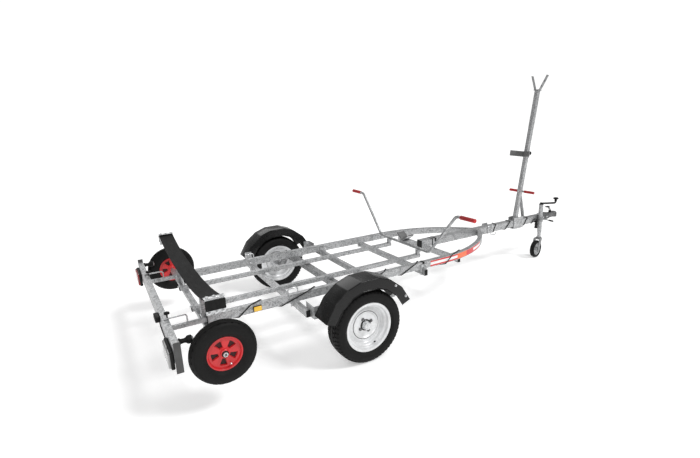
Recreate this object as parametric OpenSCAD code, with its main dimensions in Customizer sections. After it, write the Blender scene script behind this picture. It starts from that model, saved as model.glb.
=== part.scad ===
// Road trailer for a small boat, with the launching trolley that rides on it.
// Positions along the trailer are measured forward from the road axle.
// +X points to the coupling, +Y to the left side and +Z up, with the ground at z = 0.

/* [Side rails] */
// Distance between the outer faces of the two side rails
rail_spread = 1014; // [900:1:1080]
// Height of the underside of the side rails above the ground
rail_z = 412; // [395:1:440]
// Width of a side rail
rail_w = 40; // [36:1:50]
// Height of a side rail
rail_h = 60; // [50:1:80]
// Wall of every rectangular tube
tube_wall = 3; // [2:0.5:5]
// Rear end of the side rails, from the axle
rail_rear_x = -995; // [-1050:1:-900]
// Where the side rails start to bend inwards
bend_x = 1056; // [900:1:1200]
// Bend radius of the rail's outer face
bend_r = 1145; // [1000:1:1300]

/* [Drawbar] */
// Width and height of the square drawbar
bar_w = 70; // [60:1:80]
// Rear end of the drawbar
bar_rear_x = 1185; // [1100:1:1250]
// Front end of the drawbar, inside the coupling
bar_front_x = 3100; // [2900:1:3300]
// Length of the coupling head ahead of the drawbar
coupling_nose = 190; // [150:1:240]
// Diameter of the tow ball that the coupling takes
ball_d = 50; // [50:0.5:50.8]

/* [Cross beams] */
// Width of a cross beam along the trailer
beam_w = 30; // [25:1:50]
// Height of a cross beam
beam_h = 50; // [40:1:60]
// Place of the rear cross beam
rear_beam_x = -362; // [-420:1:-340]
// Place of the middle cross beam
mid_beam_x = 350; // [340:1:420]
// Place of the front cross beam
front_beam_x = 812; // [700:1:900]
// Place of the beam that carries the drawbar's rear end
bar_beam_x = 1275; // [1240:1:1300]
// Length of the rear and middle beams, which carry the mudguards
long_beam = 1380; // [1340:1:1400]
// Length of the front beam
front_beam = 1080; // [1060:1:1200]
// Length of the drawbar's beam
bar_beam = 900; // [800:1:940]

/* [Axle and road wheels] */
// Side of the square torsion axle tube
axle_side = 50; // [45:1:60]
// Place of the axle tube, ahead of the wheel centres
axle_tube_x = 68; // [60:1:120]
// Outer radius of a road tyre
tyre_r = 268; // [255:1:290]
// Width of a road tyre
tyre_w = 160; // [150:1:170]
// Distance from the middle of the trailer to the middle of a road tyre
wheel_y = 841; // [830:1:870]
// Radius of the road rim's flange
flange_r = 182.5; // [175:0.5:186]
// Width of the road rim over its flanges
rim_w = 130; // [120:1:140]
// Gap between the road tyre and its mudguard
guard_gap = 100; // [70:1:120]
// Width of a mudguard
guard_w = 180; // [176:1:220]

/* [Light board] */
// Length of the light board
board_l = 1760; // [1600:1:1800]
// Height of the light board
board_h = 100; // [90:1:120]
// Depth of the light board
board_d = 40; // [35:1:50]
// Front face of the light board
board_x = -1226; // [-1260:1:-1215]
// Height of the light board's top edge
board_top_z = 505; // [490:1:530]
// Side of the square tubes that slide in the side rails
slide_w = 26; // [22:1:30]
// How far the light board pulls out
board_travel = 600; // [300:10:700]

/* [Launching trolley] */
// Distance between the outer faces of the trolley's rails
trolley_spread = 492; // [440:1:560]
// Width of a trolley rail
trolley_rail_w = 40; // [30:1:45]
// Height of a trolley rail
trolley_rail_h = 30; // [25:1:40]
// Place of the trolley's axle, from the road axle
launch_x = -999; // [-1010:1:-980]
// Outer radius of a launching wheel
launch_r = 200; // [190:1:202]
// Width of a launching tyre
launch_w = 100; // [80:1:110]
// Distance from the middle to the middle of a launching tyre
launch_y = 883; // [870:1:910]
// Height of the sling's ends above the ground
sling_end_z = 722; // [680:1:760]
// Height of the sling's lowest point above the ground
sling_low_z = 640; // [620:1:660]
// Width of the sling belt
sling_w = 116; // [90:1:130]
// Thickness of the sling belt
sling_t = 8; // [6:0.5:10]

/* [Mast post] */
// Foot of the mast post on the drawbar
mast_x = 2565; // [2450:1:2650]
// Forward lean of the mast post, in degrees
mast_lean = 9.6; // [5:0.1:12]
// Length of the mast post from the drawbar to its fork
mast_l = 1420; // [1200:1:1500]
// Side of the square mast post
mast_w = 40; // [35:1:45]
// Height of the bow rest along the post
bow_rest_l = 735; // [600:1:900]

/* [Jockey wheel] */
// Place of the jockey wheel's tube
jockey_x = 2925; // [2860:1:2960]
// Outer radius of the jockey wheel's fixed tube
jockey_tube_r = 24; // [20:1:30]
// Radius of the jockey wheel
jockey_r = 100; // [90:1:110]
// Width of the jockey wheel
jockey_w = 50; // [40:1:60]
// Trail of the jockey wheel behind its tube
jockey_trail = 60; // [50:1:70]
// Resting turn of the castor, in degrees
castor_turn = 11; // [-20:1:20]

/* [Hidden] */
$fn = 48;

// Colours
zinc = [0.66, 0.67, 0.68];
zinc_dark = [0.45, 0.46, 0.48];
black = [0.05, 0.05, 0.05];
red = [0.78, 0.08, 0.1];
amber = [0.95, 0.7, 0.1];
silver = [0.85, 0.86, 0.88];

// A fit that turns, a fit that only slides, and the gap at a seat
turn_gap = 0.05;
slide_gap = 0.5;
seat = 0.3;

// Side rails
rail_y = rail_spread / 2 - rail_w / 2;
rail_top_z = rail_z + rail_h;
bend_centre_y = rail_spread / 2 - bend_r;

// Drawbar
bar_top_z = rail_z + bar_w;
head_front_x = bar_front_x + coupling_nose;
ball_x = head_front_x - 40;

// Beams
beam_z = rail_z - beam_h;
beam_runs = [
    [rear_beam_x, long_beam], [mid_beam_x, long_beam],
    [front_beam_x, front_beam], [bar_beam_x, bar_beam]
];
cap_t = 4;
cap_plug = 15;

// Axle and wheels
axle_z = rail_z - 10 - axle_side / 2;
axle_half = 690;
arm_t = 22;
arm_y = axle_half + arm_t / 2;
spindle_r = 15;
bead_r = 165;
well_r = 138;
rim_t = 3.5;
hub_r = 33;
guard_r = tyre_r + guard_gap;
guard_t = 5;
guard_side = 76;
guard_y = wheel_y - 2;

// Light board
board_rear_x = board_x - board_d;
slide_z = rail_z + rail_h / 2;
panel_t = 3;
slide_rear_x = board_rear_x + panel_t;
slide_in = board_travel + 100;
lamp_l = 220;
lamp_h = 105;
lamp_d = 34;
lamp_y = board_l / 2 - lamp_l / 2 - 12;

// Trolley
trolley_rail_y = trolley_spread / 2 - trolley_rail_w / 2;
trolley_top_z = rail_z + trolley_rail_h;
trolley_rear_x = launch_x - 42;
trolley_front_x = 985;
launch_axle_w = 40;
launch_axle_h = 30;
launch_z = rail_z - launch_axle_h / 2;
launch_rim_r = 106.5;
launch_axle_half = launch_y - launch_w / 2 - 28;
stub_r = 12;
post_w = 40;
post_gap = 12;
post_y = rail_spread / 2 - rail_w - post_gap - post_w / 2;
sling_end_y = 862;
clamp_t = 5;
handle_r = 13;
handle_x = 985;
handle_z = 491;
handle_foot_y = 372;
handle_knee_y = 702;
handle_top_z = 880;
handle_end_y = 905;
grip_l = 150;
grip_r = 17;

// Mast
post_top_z = bar_top_z + mast_l * cos(mast_lean);
post_top_x = mast_x + mast_l * sin(mast_lean);
bow_x = mast_x + bow_rest_l * sin(mast_lean);
bow_z = bar_top_z + bow_rest_l * cos(mast_lean);

// Jockey wheel
jockey_y = -(bar_w / 2 + 6 + jockey_tube_r);
jockey_tube_top = 620;
jockey_tube_low = 290;
leg_r = jockey_tube_r - 4;
fork_top_z = 222;

function unit(v) = v / norm(v);

// Wiring, in turns round the right side rail and then round the drawbar. Each turn lists how
// far along it crosses the lower outer, upper outer, upper inner and lower inner edges.
loom_r = 4;
loom_gap = loom_r + seat;
loom_start = -860;
rail_turns = [
    [-790, -705, -620, -540], [-480, -270, -200, -140], [-60, 60, 130, 200],
    [260, 400, 450, 510], [580, 725, 780, 860], [1060, 1140, 1290, 1450]
];
bar_turns = [[2175, 2215, 2245, 2280], [2365, 2445, 2460, 2484], [2674, 2730, 2760, 2790]];
plug_x = 2870;
plug_y = -(bar_w / 2 + 23);
plug_top_z = 436;

// The origin lies under the middle of the trailer's overall length
frame_shift = -(head_front_x + board_rear_x - lamp_d) / 2;

// ---------------------------------------------------------------- helpers

module from_axle() {
    translate([frame_shift, 0, 0]) children();
}

module both_sides() {
    children();
    mirror([0, 1, 0]) children();
}

// Rectangular tube along +X from the origin, centred in y, standing on z = 0
module tube_x(length, w, h, wall = tube_wall) {
    translate([0, -w / 2, 0])
        difference() {
            cube([length, w, h]);
            translate([-1, wall, wall]) cube([length + 2, w - 2 * wall, h - 2 * wall]);
        }
}

// Rectangular tube along Y, centred on the origin in x and y, standing on z = 0
module tube_y(length, w, h, wall = tube_wall) {
    rotate([0, 0, 90]) translate([-length / 2, 0, 0]) tube_x(length, w, h, wall);
}

// Round bar between two points
module rod(a, b, r) {
    v = b - a;
    l = norm(v);
    translate(a)
        rotate([0, acos(v[2] / l), atan2(v[1], v[0])])
            cylinder(h = l, r = r);
}

// Round bar through a list of points, with a slightly larger ball at each bend
module bent_rod(points, r) {
    for (i = [0:len(points) - 2]) rod(points[i], points[i + 1], r);
    for (i = [1:len(points) - 2]) translate(points[i]) sphere(r = 1.05 * r);
}

// A wheel piece turned about Y, with +y of the profile pointing away from the trailer
module turned(profile_fn = 96) {
    rotate([-90, 0, 0])
        for (i = [0:$children - 1]) rotate_extrude($fn = profile_fn) children(i);
}

// Flat bar in the XZ plane over the points a and b, reaching r past each and r to each side
module link_plate(a, b, r, t) {
    v = b - a;
    translate([a[0], 0, a[1]])
        rotate([0, -atan2(v[1], v[0]), 0])
            translate([-r, -t / 2, -r]) cube([norm(v) + 2 * r, t, 2 * r]);
}

// ---------------------------------------------------------------- frame

// Plan of a side rail, drawn in by `inset` on both long sides, from x = start to the drawbar
module rail_plan(inset, start, low_y) {
    outer_y = rail_spread / 2 - inset;
    inner_y = rail_spread / 2 - rail_w + inset;
    difference() {
        translate([start, low_y]) square([bend_x + bend_r - start, outer_y - low_y]);
        difference() {
            translate([bend_x, -bar_w]) square([2 * bend_r, 2 * rail_spread]);
            translate([bend_x, bend_centre_y]) circle(r = bend_r - inset, $fn = 240);
        }
        translate([start - 1, -bar_w]) square([bend_x - start + 1, inner_y + bar_w]);
        translate([bend_x, bend_centre_y]) circle(r = bend_r - rail_w + inset, $fn = 240);
    }
}

module side_rail_solid() {
    translate([0, 0, rail_z])
        difference() {
            linear_extrude(rail_h) rail_plan(0, rail_rear_x, bar_w / 2);
            translate([0, 0, tube_wall])
                linear_extrude(rail_h - 2 * tube_wall)
                    rail_plan(tube_wall, rail_rear_x - 2, bar_w / 2 - 2);
        }
}

module side_rail_left() {
    color(zinc) side_rail_solid();
}

module side_rail_right() {
    color(zinc) mirror([0, 1, 0]) side_rail_solid();
}

module drawbar() {
    color(zinc)
        translate([bar_rear_x, 0, rail_z])
            tube_x(bar_front_x - bar_rear_x, bar_w, bar_w, tube_wall + 1);
}

module cross_beams() {
    color(zinc)
        for (b = beam_runs) translate([b[0], 0, beam_z]) tube_y(b[1], beam_w, beam_h);
}

module end_cap(w, h, wall = tube_wall) {
    translate([0, -w / 2, 0]) cube([cap_t, w, h]);
    translate([-cap_plug, -w / 2 + wall + seat, wall + seat])
        cube([cap_plug + 1, w - 2 * (wall + seat), h - 2 * (wall + seat)]);
}

// Bush in the rear end of a side rail, in which the light board's tube slides
module slide_bush() {
    inset = tube_wall + seat;
    bush_l = 25;
    translate([rail_rear_x, rail_y, rail_z])
        difference() {
            union() {
                translate([-cap_t, -rail_w / 2, 0]) cube([cap_t, rail_w, rail_h]);
                translate([-1, -rail_w / 2 + inset, inset])
                    cube([bush_l + 1, rail_w - 2 * inset, rail_h - 2 * inset]);
            }
            translate([-cap_t - 1, -slide_w / 2 - slide_gap, rail_h / 2 - slide_w / 2 - slide_gap])
                cube([bush_l + cap_t + 2, slide_w + 2 * slide_gap, slide_w + 2 * slide_gap]);
        }
}

module beam_end_caps() {
    color(black) {
        both_sides() slide_bush();
        for (b = beam_runs)
            both_sides()
                translate([b[0], b[1] / 2, beam_z]) rotate([0, 0, 90]) end_cap(beam_w, beam_h);
        translate([bar_rear_x, 0, rail_z]) rotate([0, 0, 180]) end_cap(bar_w, bar_w, tube_wall + 1);
        both_sides()
            for (x = [trolley_rear_x, trolley_front_x])
                translate([x, trolley_rail_y, rail_z])
                    rotate([0, 0, x == trolley_rear_x ? 180 : 0])
                        end_cap(trolley_rail_w, trolley_rail_h);
    }
}

module torsion_axle() {
    color(zinc_dark)
        translate([axle_tube_x, 0, axle_z - axle_side / 2])
            tube_y(2 * axle_half, axle_side, axle_side, tube_wall + 1);
}

// Saddle plates that hang the axle tube under the side rails
module axle_brackets() {
    plate_l = 126;
    color(zinc_dark)
        both_sides()
            translate([axle_tube_x, rail_y, 0]) {
                translate([-plate_l / 2, -rail_w / 2, axle_z + axle_side / 2])
                    cube([plate_l, rail_w, rail_z - axle_z - axle_side / 2]);
                for (s = [-1, 1])
                    translate([s * (axle_side / 2 + 3) - 3, -rail_w / 2, axle_z - axle_side / 2])
                        cube([6, rail_w, axle_side + 1]);
            }
}

module swing_arms() {
    color(zinc_dark)
        both_sides()
            translate([0, arm_y, 0]) {
                link_plate([axle_tube_x, axle_z], [0, tyre_r], 27, arm_t);
                translate([0, 0, tyre_r])
                    rotate([-90, 0, 0]) cylinder(h = wheel_y + 30 - arm_y, r = spindle_r);
                translate([axle_tube_x, -60, axle_z]) rotate([-90, 0, 0]) cylinder(h = 60, r = 18);
            }
}

// Mudguard: flats that follow the tyre, with a flat step on top
guard_angles = [-4, 22, 42, 62, 79, 101, 118, 138, 160];
function guard_point(r, a) = [r * cos(a), r * sin(a)];

module guard_band(r, t) {
    polygon(concat(
        [for (a = guard_angles) if (a > 0) guard_point(r, a)],
        [for (i = [len(guard_angles) - 1:-1:0]) if (guard_angles[i] > 0) guard_point(r - t, guard_angles[i])]
    ));
}

module mudguard_solid() {
    translate([0, guard_y, tyre_r])
        rotate([90, 0, 0])
            translate([0, 0, -guard_w / 2]) {
                linear_extrude(guard_w) guard_band(guard_r, guard_t);
                for (z = [0, guard_w - guard_t])
                    translate([0, 0, z]) linear_extrude(guard_t) guard_band(guard_r, guard_side);
            }
}

module mudguard_left() {
    color(black) mudguard_solid();
}

module mudguard_right() {
    color(black) mirror([0, 1, 0]) mudguard_solid();
}

// Angle plates from the ends of the beams to the inner walls of the mudguards
module mudguard_stays() {
    inner_y = guard_y - guard_w / 2;
    stay_h = tyre_r + guard_r / 2 + 2 - beam_z;
    reach = 62;
    rear_x = rear_beam_x + beam_w / 2;
    front_x = mid_beam_x - beam_w / 2 - 5;
    color(zinc)
        both_sides() {
            for (x = [rear_x, front_x])
                translate([x, long_beam / 2 - 60, beam_z]) cube([5, inner_y - long_beam / 2 + 60, stay_h]);
            translate([rear_x, inner_y - 5, beam_z]) cube([reach, 5, stay_h]);
            translate([front_x + 5 - reach, inner_y - 5, beam_z]) cube([reach, 5, stay_h]);
        }
}

// ---------------------------------------------------------------- front end

module coupling_head() {
    wall = 5;
    back = 110;
    color(zinc_dark)
        difference() {
            union() {
                translate([bar_front_x - back, -bar_w / 2 - wall, rail_z + 8])
                    cube([back + 40, bar_w + 2 * wall, bar_w - 8 + wall]);
                translate([bar_front_x + 20, -30, rail_z + 14]) cube([ball_x - bar_front_x - 20, 60, 56]);
                translate([ball_x, 0, rail_z + 14]) cylinder(h = 44, r = 40);
                translate([ball_x, 0, rail_z + 58]) cylinder(h = 14, r1 = 40, r2 = 24);
            }
            translate([bar_front_x - back - 1, -bar_w / 2 - seat, rail_z])
                cube([back + 1 + seat, bar_w + 2 * seat, bar_w + seat]);
            translate([ball_x, 0, rail_z + 13]) cylinder(h = 28, r = ball_d / 2 + 0.2);
            translate([ball_x, 0, rail_z + 41]) sphere(r = ball_d / 2 + 0.2);
        }
}

module coupling_handle() {
    x = ball_x - 66;
    z = rail_z + 70;
    color(black) {
        translate([x - 16, -9, z + seat]) cube([32, 18, 26]);
        for (s = [-1, 1]) rod([x, s * 6, z + 20], [x - 40, s * 6, z + 74], 5);
        translate([x - 42, -16, z + 68]) cube([18, 32, 12]);
        translate([x - 76, -13, z + 70]) cube([40, 26, 9]);
    }
}

module drawbar_plates() {
    color(zinc)
        for (s = [-1, 1])
            translate([2085, s > 0 ? bar_w / 2 : -bar_w / 2 - 6, rail_z - 6])
                cube([78, 6, bar_w + 26]);
}

module stowage_hook() {
    color(zinc_dark)
        bent_rod([[2185, 0, rail_z - seat], [2185, 0, 362], [2260, 0, 362], [2260, 0, 384]], 5);
}

module mast_base() {
    l = 150;
    color(zinc) {
        for (s = [-1, 1])
            translate([mast_x - 60, s > 0 ? bar_w / 2 + seat : -bar_w / 2 - 6 - seat, rail_z - 24])
                cube([l, 6, bar_w + 24 + 34]);
        translate([mast_x - 60, -bar_w / 2 - 6 - seat, rail_z - 24]) cube([l, bar_w + 12 + 2 * seat, 6]);
    }
}

// Moves children to the mast post's own frame: z runs up the leaning post
module on_mast() {
    translate([mast_x, 0, bar_top_z]) rotate([0, mast_lean, 0]) children();
}

module mast_post() {
    color(zinc)
        difference() {
            on_mast()
                translate([mast_w / 2, 0, -20]) rotate([0, -90, 0]) tube_x(mast_l + 20, mast_w, mast_w);
            translate([mast_x - 200, -100, bar_top_z - 100]) cube([400, 200, 100 + seat]);
        }
}

module mast_brace() {
    foot = [2704, 0, bar_top_z];
    head_l = 280;
    head = [mast_x + head_l * sin(mast_lean) + mast_w / 2 - 2, 0, bar_top_z + head_l * cos(mast_lean)];
    lean = atan2(head[0] - foot[0], head[2] - foot[2]);
    color(zinc_dark)
        difference() {
            translate(foot) rotate([0, lean, 0])
                translate([-12, -12, 1]) cube([24, 24, norm(head - foot)]);
            translate([mast_x - 200, -100, bar_top_z - 100]) cube([400, 200, 100 + seat]);
            on_mast() translate([-mast_w, -mast_w, -50]) cube([1.5 * mast_w + seat, 2 * mast_w, mast_l]);
        }
}

module mast_fork() {
    color(zinc_dark)
        on_mast()
            translate([0, 0, mast_l + seat]) {
                translate([-25, -31, 0]) cube([50, 62, 8]);
                both_sides()
                    translate([0, 24, 4]) rotate([-24, 0, 0]) translate([-16, 0, 0]) cube([32, 6, 168]);
            }
}

module post_handlebar() {
    color(zinc)
        on_mast()
            translate([mast_w / 2 + 11 + seat, -150, 326]) rotate([-90, 0, 0]) cylinder(h = 300, r = 11);
}

module post_grips() {
    color(red)
        on_mast()
            both_sides()
                translate([mast_w / 2 + 11 + seat, 40, 326])
                    rotate([-90, 0, 0])
                        difference() {
                            cylinder(h = 122, r = 15);
                            translate([0, 0, -1]) cylinder(h = 111 + seat, r = 11 + seat);
                        }
}

module on_bow_rest() {
    on_mast() translate([0, 0, bow_rest_l]) children();
}

module bow_rest() {
    inner = mast_w / 2 + slide_gap;
    color(zinc)
        on_bow_rest() {
            difference() {
                translate([-inner - 5, -inner - 5, -32]) cube([2 * inner + 10, 2 * inner + 10, 64]);
                translate([-inner, -inner, -33]) cube([2 * inner, 2 * inner, 66]);
            }
            translate([-inner - 20, -18, -30]) cube([16, 36, 60]);
            both_sides()
                translate([-inner - 16, 0, -30]) rotate([0, 0, 30]) translate([-5, 0, 0]) cube([5, 150, 60]);
            translate([inner + 4, 0, 0]) rotate([0, 90, 0]) cylinder(h = 22, r = 6);
            translate([inner + 22, -20, -5]) cube([8, 40, 10]);
        }
}

module bow_rest_pads() {
    inner = mast_w / 2 + slide_gap;
    color(black)
        on_bow_rest()
            both_sides()
                translate([-inner - 16, 0, -28])
                    rotate([0, 0, 30]) translate([-5 - seat - 12, 12, 0]) cube([12, 136, 56]);
}

module jockey_clamp() {
    color(zinc_dark) {
        difference() {
            union() {
                translate([jockey_x - 30, -bar_w / 2 - 6, rail_z - 10]) cube([60, 6 - seat, bar_w + 20]);
                translate([jockey_x, jockey_y, rail_z + 6])
                    cylinder(h = 58, r = jockey_tube_r + 6);
            }
            translate([jockey_x, jockey_y, rail_z - 20]) cylinder(h = 120, r = jockey_tube_r + seat);
            translate([jockey_x - 60, -bar_w / 2 - seat, rail_z - 20]) cube([120, 60, 120]);
        }
        rod([jockey_x + 29, jockey_y - 12, rail_z + 34], [jockey_x + 172, jockey_y - 52, rail_z - 9], 6);
    }
}

module jockey_outer_tube() {
    color(zinc)
        translate([jockey_x, jockey_y, 0])
            difference() {
                translate([0, 0, jockey_tube_low])
                    cylinder(h = jockey_tube_top - jockey_tube_low, r = jockey_tube_r);
                translate([0, 0, jockey_tube_low - 1])
                    cylinder(h = jockey_tube_top - jockey_tube_low - 5, r = leg_r + slide_gap);
            }
}

module jockey_crank() {
    z = jockey_tube_top + seat;
    grip_at = [jockey_x + 142, jockey_y - 82];
    color(black) {
        translate([jockey_x, jockey_y, z]) cylinder(h = 22, r = 15);
        rod([jockey_x, jockey_y, z + 12], [grip_at[0], grip_at[1], z + 10], 7);
        rod([grip_at[0], grip_at[1], z + 4], [grip_at[0], grip_at[1], z + 70], 7);
        translate([grip_at[0], grip_at[1], z + 34]) cylinder(h = 40, r = 14);
    }
}

// ---------------------------------------------------------------- jockey wheel

module at_castor() {
    translate([jockey_x, jockey_y, 0]) rotate([0, 0, castor_turn]) children();
}

module jockey_leg() {
    color(zinc)
        translate([jockey_x, jockey_y, fork_top_z + 8 + seat])
            cylinder(h = 320, r = leg_r);
}

module jockey_fork() {
    cheek_top = fork_top_z - 8;
    color(zinc_dark)
        at_castor() {
            translate([0, 0, cheek_top]) cylinder(h = 16, r = 30);
            translate([-jockey_trail + 6, -jockey_w / 2 - 12, cheek_top])
                cube([jockey_trail, jockey_w + 24, 8]);
            both_sides()
                translate([0, jockey_w / 2 + 12, 0])
                    rotate([90, 0, 0])
                        linear_extrude(6)
                            difference() {
                                union() {
                                    translate([-jockey_trail, jockey_r]) circle(r = 20);
                                    polygon([
                                        [-jockey_trail - 20, jockey_r], [-jockey_trail + 20, jockey_r],
                                        [6, cheek_top], [-jockey_trail + 6, cheek_top]
                                    ]);
                                }
                                translate([-jockey_trail, jockey_r]) circle(r = 8 + turn_gap);
                            }
        }
}

module jockey_tyre() {
    color(black)
        at_castor()
            translate([-jockey_trail, 0, jockey_r])
                turned()
                    difference() {
                        union() {
                            translate([70, -jockey_w / 2 + 6]) square([jockey_r - 70, jockey_w - 12]);
                            translate([70, -jockey_w / 2]) square([jockey_r - 76, jockey_w]);
                            for (s = [-1, 1])
                                translate([jockey_r - 6, s * (jockey_w / 2 - 6)]) circle(r = 6);
                        }
                    }
}

module jockey_rim() {
    color(silver)
        at_castor()
            translate([-jockey_trail, 0, jockey_r]) {
                turned()
                    union() {
                        translate([62, -20]) square([8 - seat, 40]);
                        translate([20, -4]) square([44, 8]);
                        translate([8, -24]) square([14, 48]);
                    }
                rotate([-90, 0, 0])
                    translate([0, 0, -jockey_w / 2 - 18]) cylinder(h = jockey_w + 36, r = 8);
            }
}

// ---------------------------------------------------------------- road wheels

module tyre_profile(r, w, bead, side) {
    round = 26;
    difference() {
        union() {
            translate([bead, -w / 2 + 12]) square([r - bead, w - 24]);
            translate([bead + side, -w / 2]) square([r - round - bead - side, w]);
            for (s = [-1, 1]) translate([r - round, s * (w / 2 - round)]) circle(r = round);
            for (s = [-1, 1]) translate([bead + side, s * (w / 2 - side)]) circle(r = side);
        }
        translate([bead - 30, -w / 2 - 1]) square([30, w + 2]);
    }
}

module road_tyre() {
    color(black)
        translate([0, wheel_y, tyre_r])
            turned(128)
                difference() {
                    tyre_profile(tyre_r, tyre_w, bead_r + seat, 22);
                    translate([0, -tyre_w]) square([bead_r + seat, 2 * tyre_w]);
                    for (s = [-1, 1])
                        translate([0, s > 0 ? rim_w / 2 - rim_t - seat : -rim_w / 2 - 30 + rim_t + seat])
                            square([flange_r + seat, 30]);
                }
}

module road_rim() {
    half = rim_w / 2;
    color(silver)
        translate([0, wheel_y, tyre_r])
            turned(128) {
                for (s = [-1, 1])
                    translate([bead_r - rim_t, s > 0 ? half - rim_t : -half])
                        square([flange_r - bead_r + rim_t, rim_t]);
                translate([bead_r - rim_t, -half]) square([rim_t, 40]);
                translate([bead_r - rim_t, half - 34]) square([rim_t, 34]);
                translate([well_r, -half + 36]) square([bead_r - well_r, 4]);
                translate([well_r, half - 34]) square([bead_r - well_r, 4]);
                translate([well_r, -half + 36]) square([rim_t, rim_w - 66]);
                polygon([[hub_r + 1, 12], [92, 12], [100, 26], [well_r + 1, 30],
                         [well_r + 1, 25], [103, 21], [95, 7], [hub_r + 1, 7]]);
            }
}

module road_hub() {
    color(zinc)
        translate([0, wheel_y, tyre_r])
            difference() {
                turned() {
                    translate([0, -70]) square([60, 77 - seat]);
                    square([hub_r, 18]);
                    translate([0, 17]) square([26, 30]);
                }
                translate([0, -71, 0]) rotate([-90, 0, 0]) cylinder(h = 102 + seat, r = spindle_r + turn_gap);
            }
}

module road_tyre_left() { road_tyre(); }
module road_tyre_right() { mirror([0, 1, 0]) road_tyre(); }
module road_rim_left() { road_rim(); }
module road_rim_right() { mirror([0, 1, 0]) road_rim(); }
module road_hub_left() { road_hub(); }
module road_hub_right() { mirror([0, 1, 0]) road_hub(); }

// ---------------------------------------------------------------- launching trolley

module trolley_rails() {
    color(zinc)
        both_sides()
            translate([trolley_rear_x, trolley_rail_y, rail_z])
                tube_x(trolley_front_x - trolley_rear_x, trolley_rail_w, trolley_rail_h);
}

module trolley_axle() {
    color(zinc) {
        translate([launch_x, 0, rail_z - launch_axle_h])
            tube_y(2 * launch_axle_half, launch_axle_w, launch_axle_h - seat);
        both_sides()
            translate([launch_x, launch_axle_half - 20, launch_z])
                rotate([-90, 0, 0]) cylinder(h = launch_y - launch_axle_half + 20 + 42, r = stub_r);
    }
}

module launch_tyre() {
    color(black)
        translate([launch_x, launch_y, launch_z])
            turned()
                difference() {
                    translate([launch_r - launch_w / 2, 0]) circle(r = launch_w / 2);
                    translate([0, -launch_w]) square([launch_rim_r, 2 * launch_w]);
                }
}

module launch_rim() {
    color(red)
        translate([launch_x, launch_y, launch_z])
            difference() {
                turned() {
                    translate([launch_rim_r - 8, -32]) square([8 - seat, 64]);
                    translate([24, 14]) square([launch_rim_r - 30, 5]);
                    translate([8, -34]) square([18, 72]);
                }
                translate([0, -60, 0]) rotate([-90, 0, 0]) cylinder(h = 120, r = stub_r + turn_gap);
            }
}

module launch_tyre_left() { launch_tyre(); }
module launch_tyre_right() { mirror([0, 1, 0]) launch_tyre(); }
module launch_rim_left() { launch_rim(); }
module launch_rim_right() { mirror([0, 1, 0]) launch_rim(); }

// Height of the sling's underside at a distance y from the middle
function sling_z(y) = sling_low_z + (sling_end_z - sling_low_z) * pow(abs(y) / sling_end_y, 2.6);

module cradle_uprights() {
    top = sling_z(post_y) - 16;
    color(zinc)
        both_sides() {
            translate([launch_x - post_w / 2, post_y - post_w / 2, rail_z - seat])
                cube([post_w, post_w, top - rail_z]);
            rod_top = [launch_x, sling_end_y - 2, sling_end_z - 36];
            rod([launch_x, post_y, top - 20], rod_top, 12);
            translate([launch_x - 2.5, 0, 0])
                rotate([90, 0, 90])
                    linear_extrude(5)
                        polygon([
                            [post_y - 19, rail_z - seat], [post_y - 19, top - 20],
                            [post_y - 180, rail_z - seat]
                        ]);
        }
}

module cradle_belt() {
    steps = 10;
    ys = [for (i = [-steps:steps]) sling_end_y * i / steps];
    color(black)
        translate([launch_x - sling_w / 2 - 12, 0, 0])
            rotate([90, 0, 90])
                linear_extrude(sling_w)
                    polygon(concat(
                        [for (y = ys) [y, sling_z(y)]],
                        [for (i = [2 * steps:-1:0]) [ys[i], sling_z(ys[i]) + sling_t]]
                    ));
}

module belt_clamps() {
    color(silver)
        both_sides()
            translate([launch_x - sling_w / 2 - 14, sling_end_y + seat, sling_end_z - 88]) {
                cube([sling_w + 4, clamp_t, 92 + sling_t]);
                translate([0, -26 - seat, 88 + sling_t + seat]) cube([sling_w + 4, 26 + clamp_t + seat, clamp_t]);
            }
}

// Padded V that stands on the handlebar's cross tube
module on_keel_rest() {
    translate([handle_x - 17, 2, handle_z + handle_r + 12]) rotate([34, 0, 0]) children();
}

module keel_rest() {
    color(zinc) {
        translate([handle_x - 18, -34, handle_z + handle_r + seat]) cube([76, 68, 14]);
        both_sides() on_keel_rest() cube([76, 92, 5]);
    }
}

module keel_pads() {
    color(black)
        both_sides() on_keel_rest() translate([-3, 10, 5 + seat]) cube([82, 86, 12]);
}

module trolley_handlebar() {
    foot_w = 30;
    color(zinc) {
        bent_rod([
            [handle_x, -handle_end_y + 2, handle_top_z], [handle_x, -handle_knee_y, handle_top_z],
            [handle_x, -handle_foot_y, handle_z], [handle_x, handle_foot_y, handle_z],
            [handle_x, handle_knee_y, handle_top_z], [handle_x, handle_end_y - 2, handle_top_z]
        ], handle_r);
        both_sides()
            translate([trolley_front_x - foot_w + 4, trolley_rail_y - foot_w / 2, trolley_top_z])
                cube([foot_w, foot_w, handle_z - trolley_top_z - 3]);
    }
}

module trolley_grips() {
    color(red)
        both_sides()
            translate([handle_x, handle_end_y - grip_l, handle_top_z])
                rotate([-90, 0, 0])
                    difference() {
                        cylinder(h = grip_l + 4, r = grip_r);
                        translate([0, 0, -1]) cylinder(h = grip_l + seat, r = handle_r + seat);
                    }
}

// ---------------------------------------------------------------- light board

module light_board() {
    color(zinc)
        translate([board_rear_x, 0, board_top_z - board_h])
            rotate([90, 0, 90])
                difference() {
                    translate([-board_l / 2, 0, 0]) cube([board_l, board_h, board_d]);
                    translate([-board_l / 2 - 1, panel_t, panel_t])
                        cube([board_l + 2, board_h - 2 * panel_t, board_d]);
                }
}

module light_slides() {
    color(zinc)
        both_sides()
            translate([slide_rear_x, rail_y, slide_z - slide_w / 2])
                tube_x(rail_rear_x + slide_in - slide_rear_x, slide_w, slide_w, 2.5);
}

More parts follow.
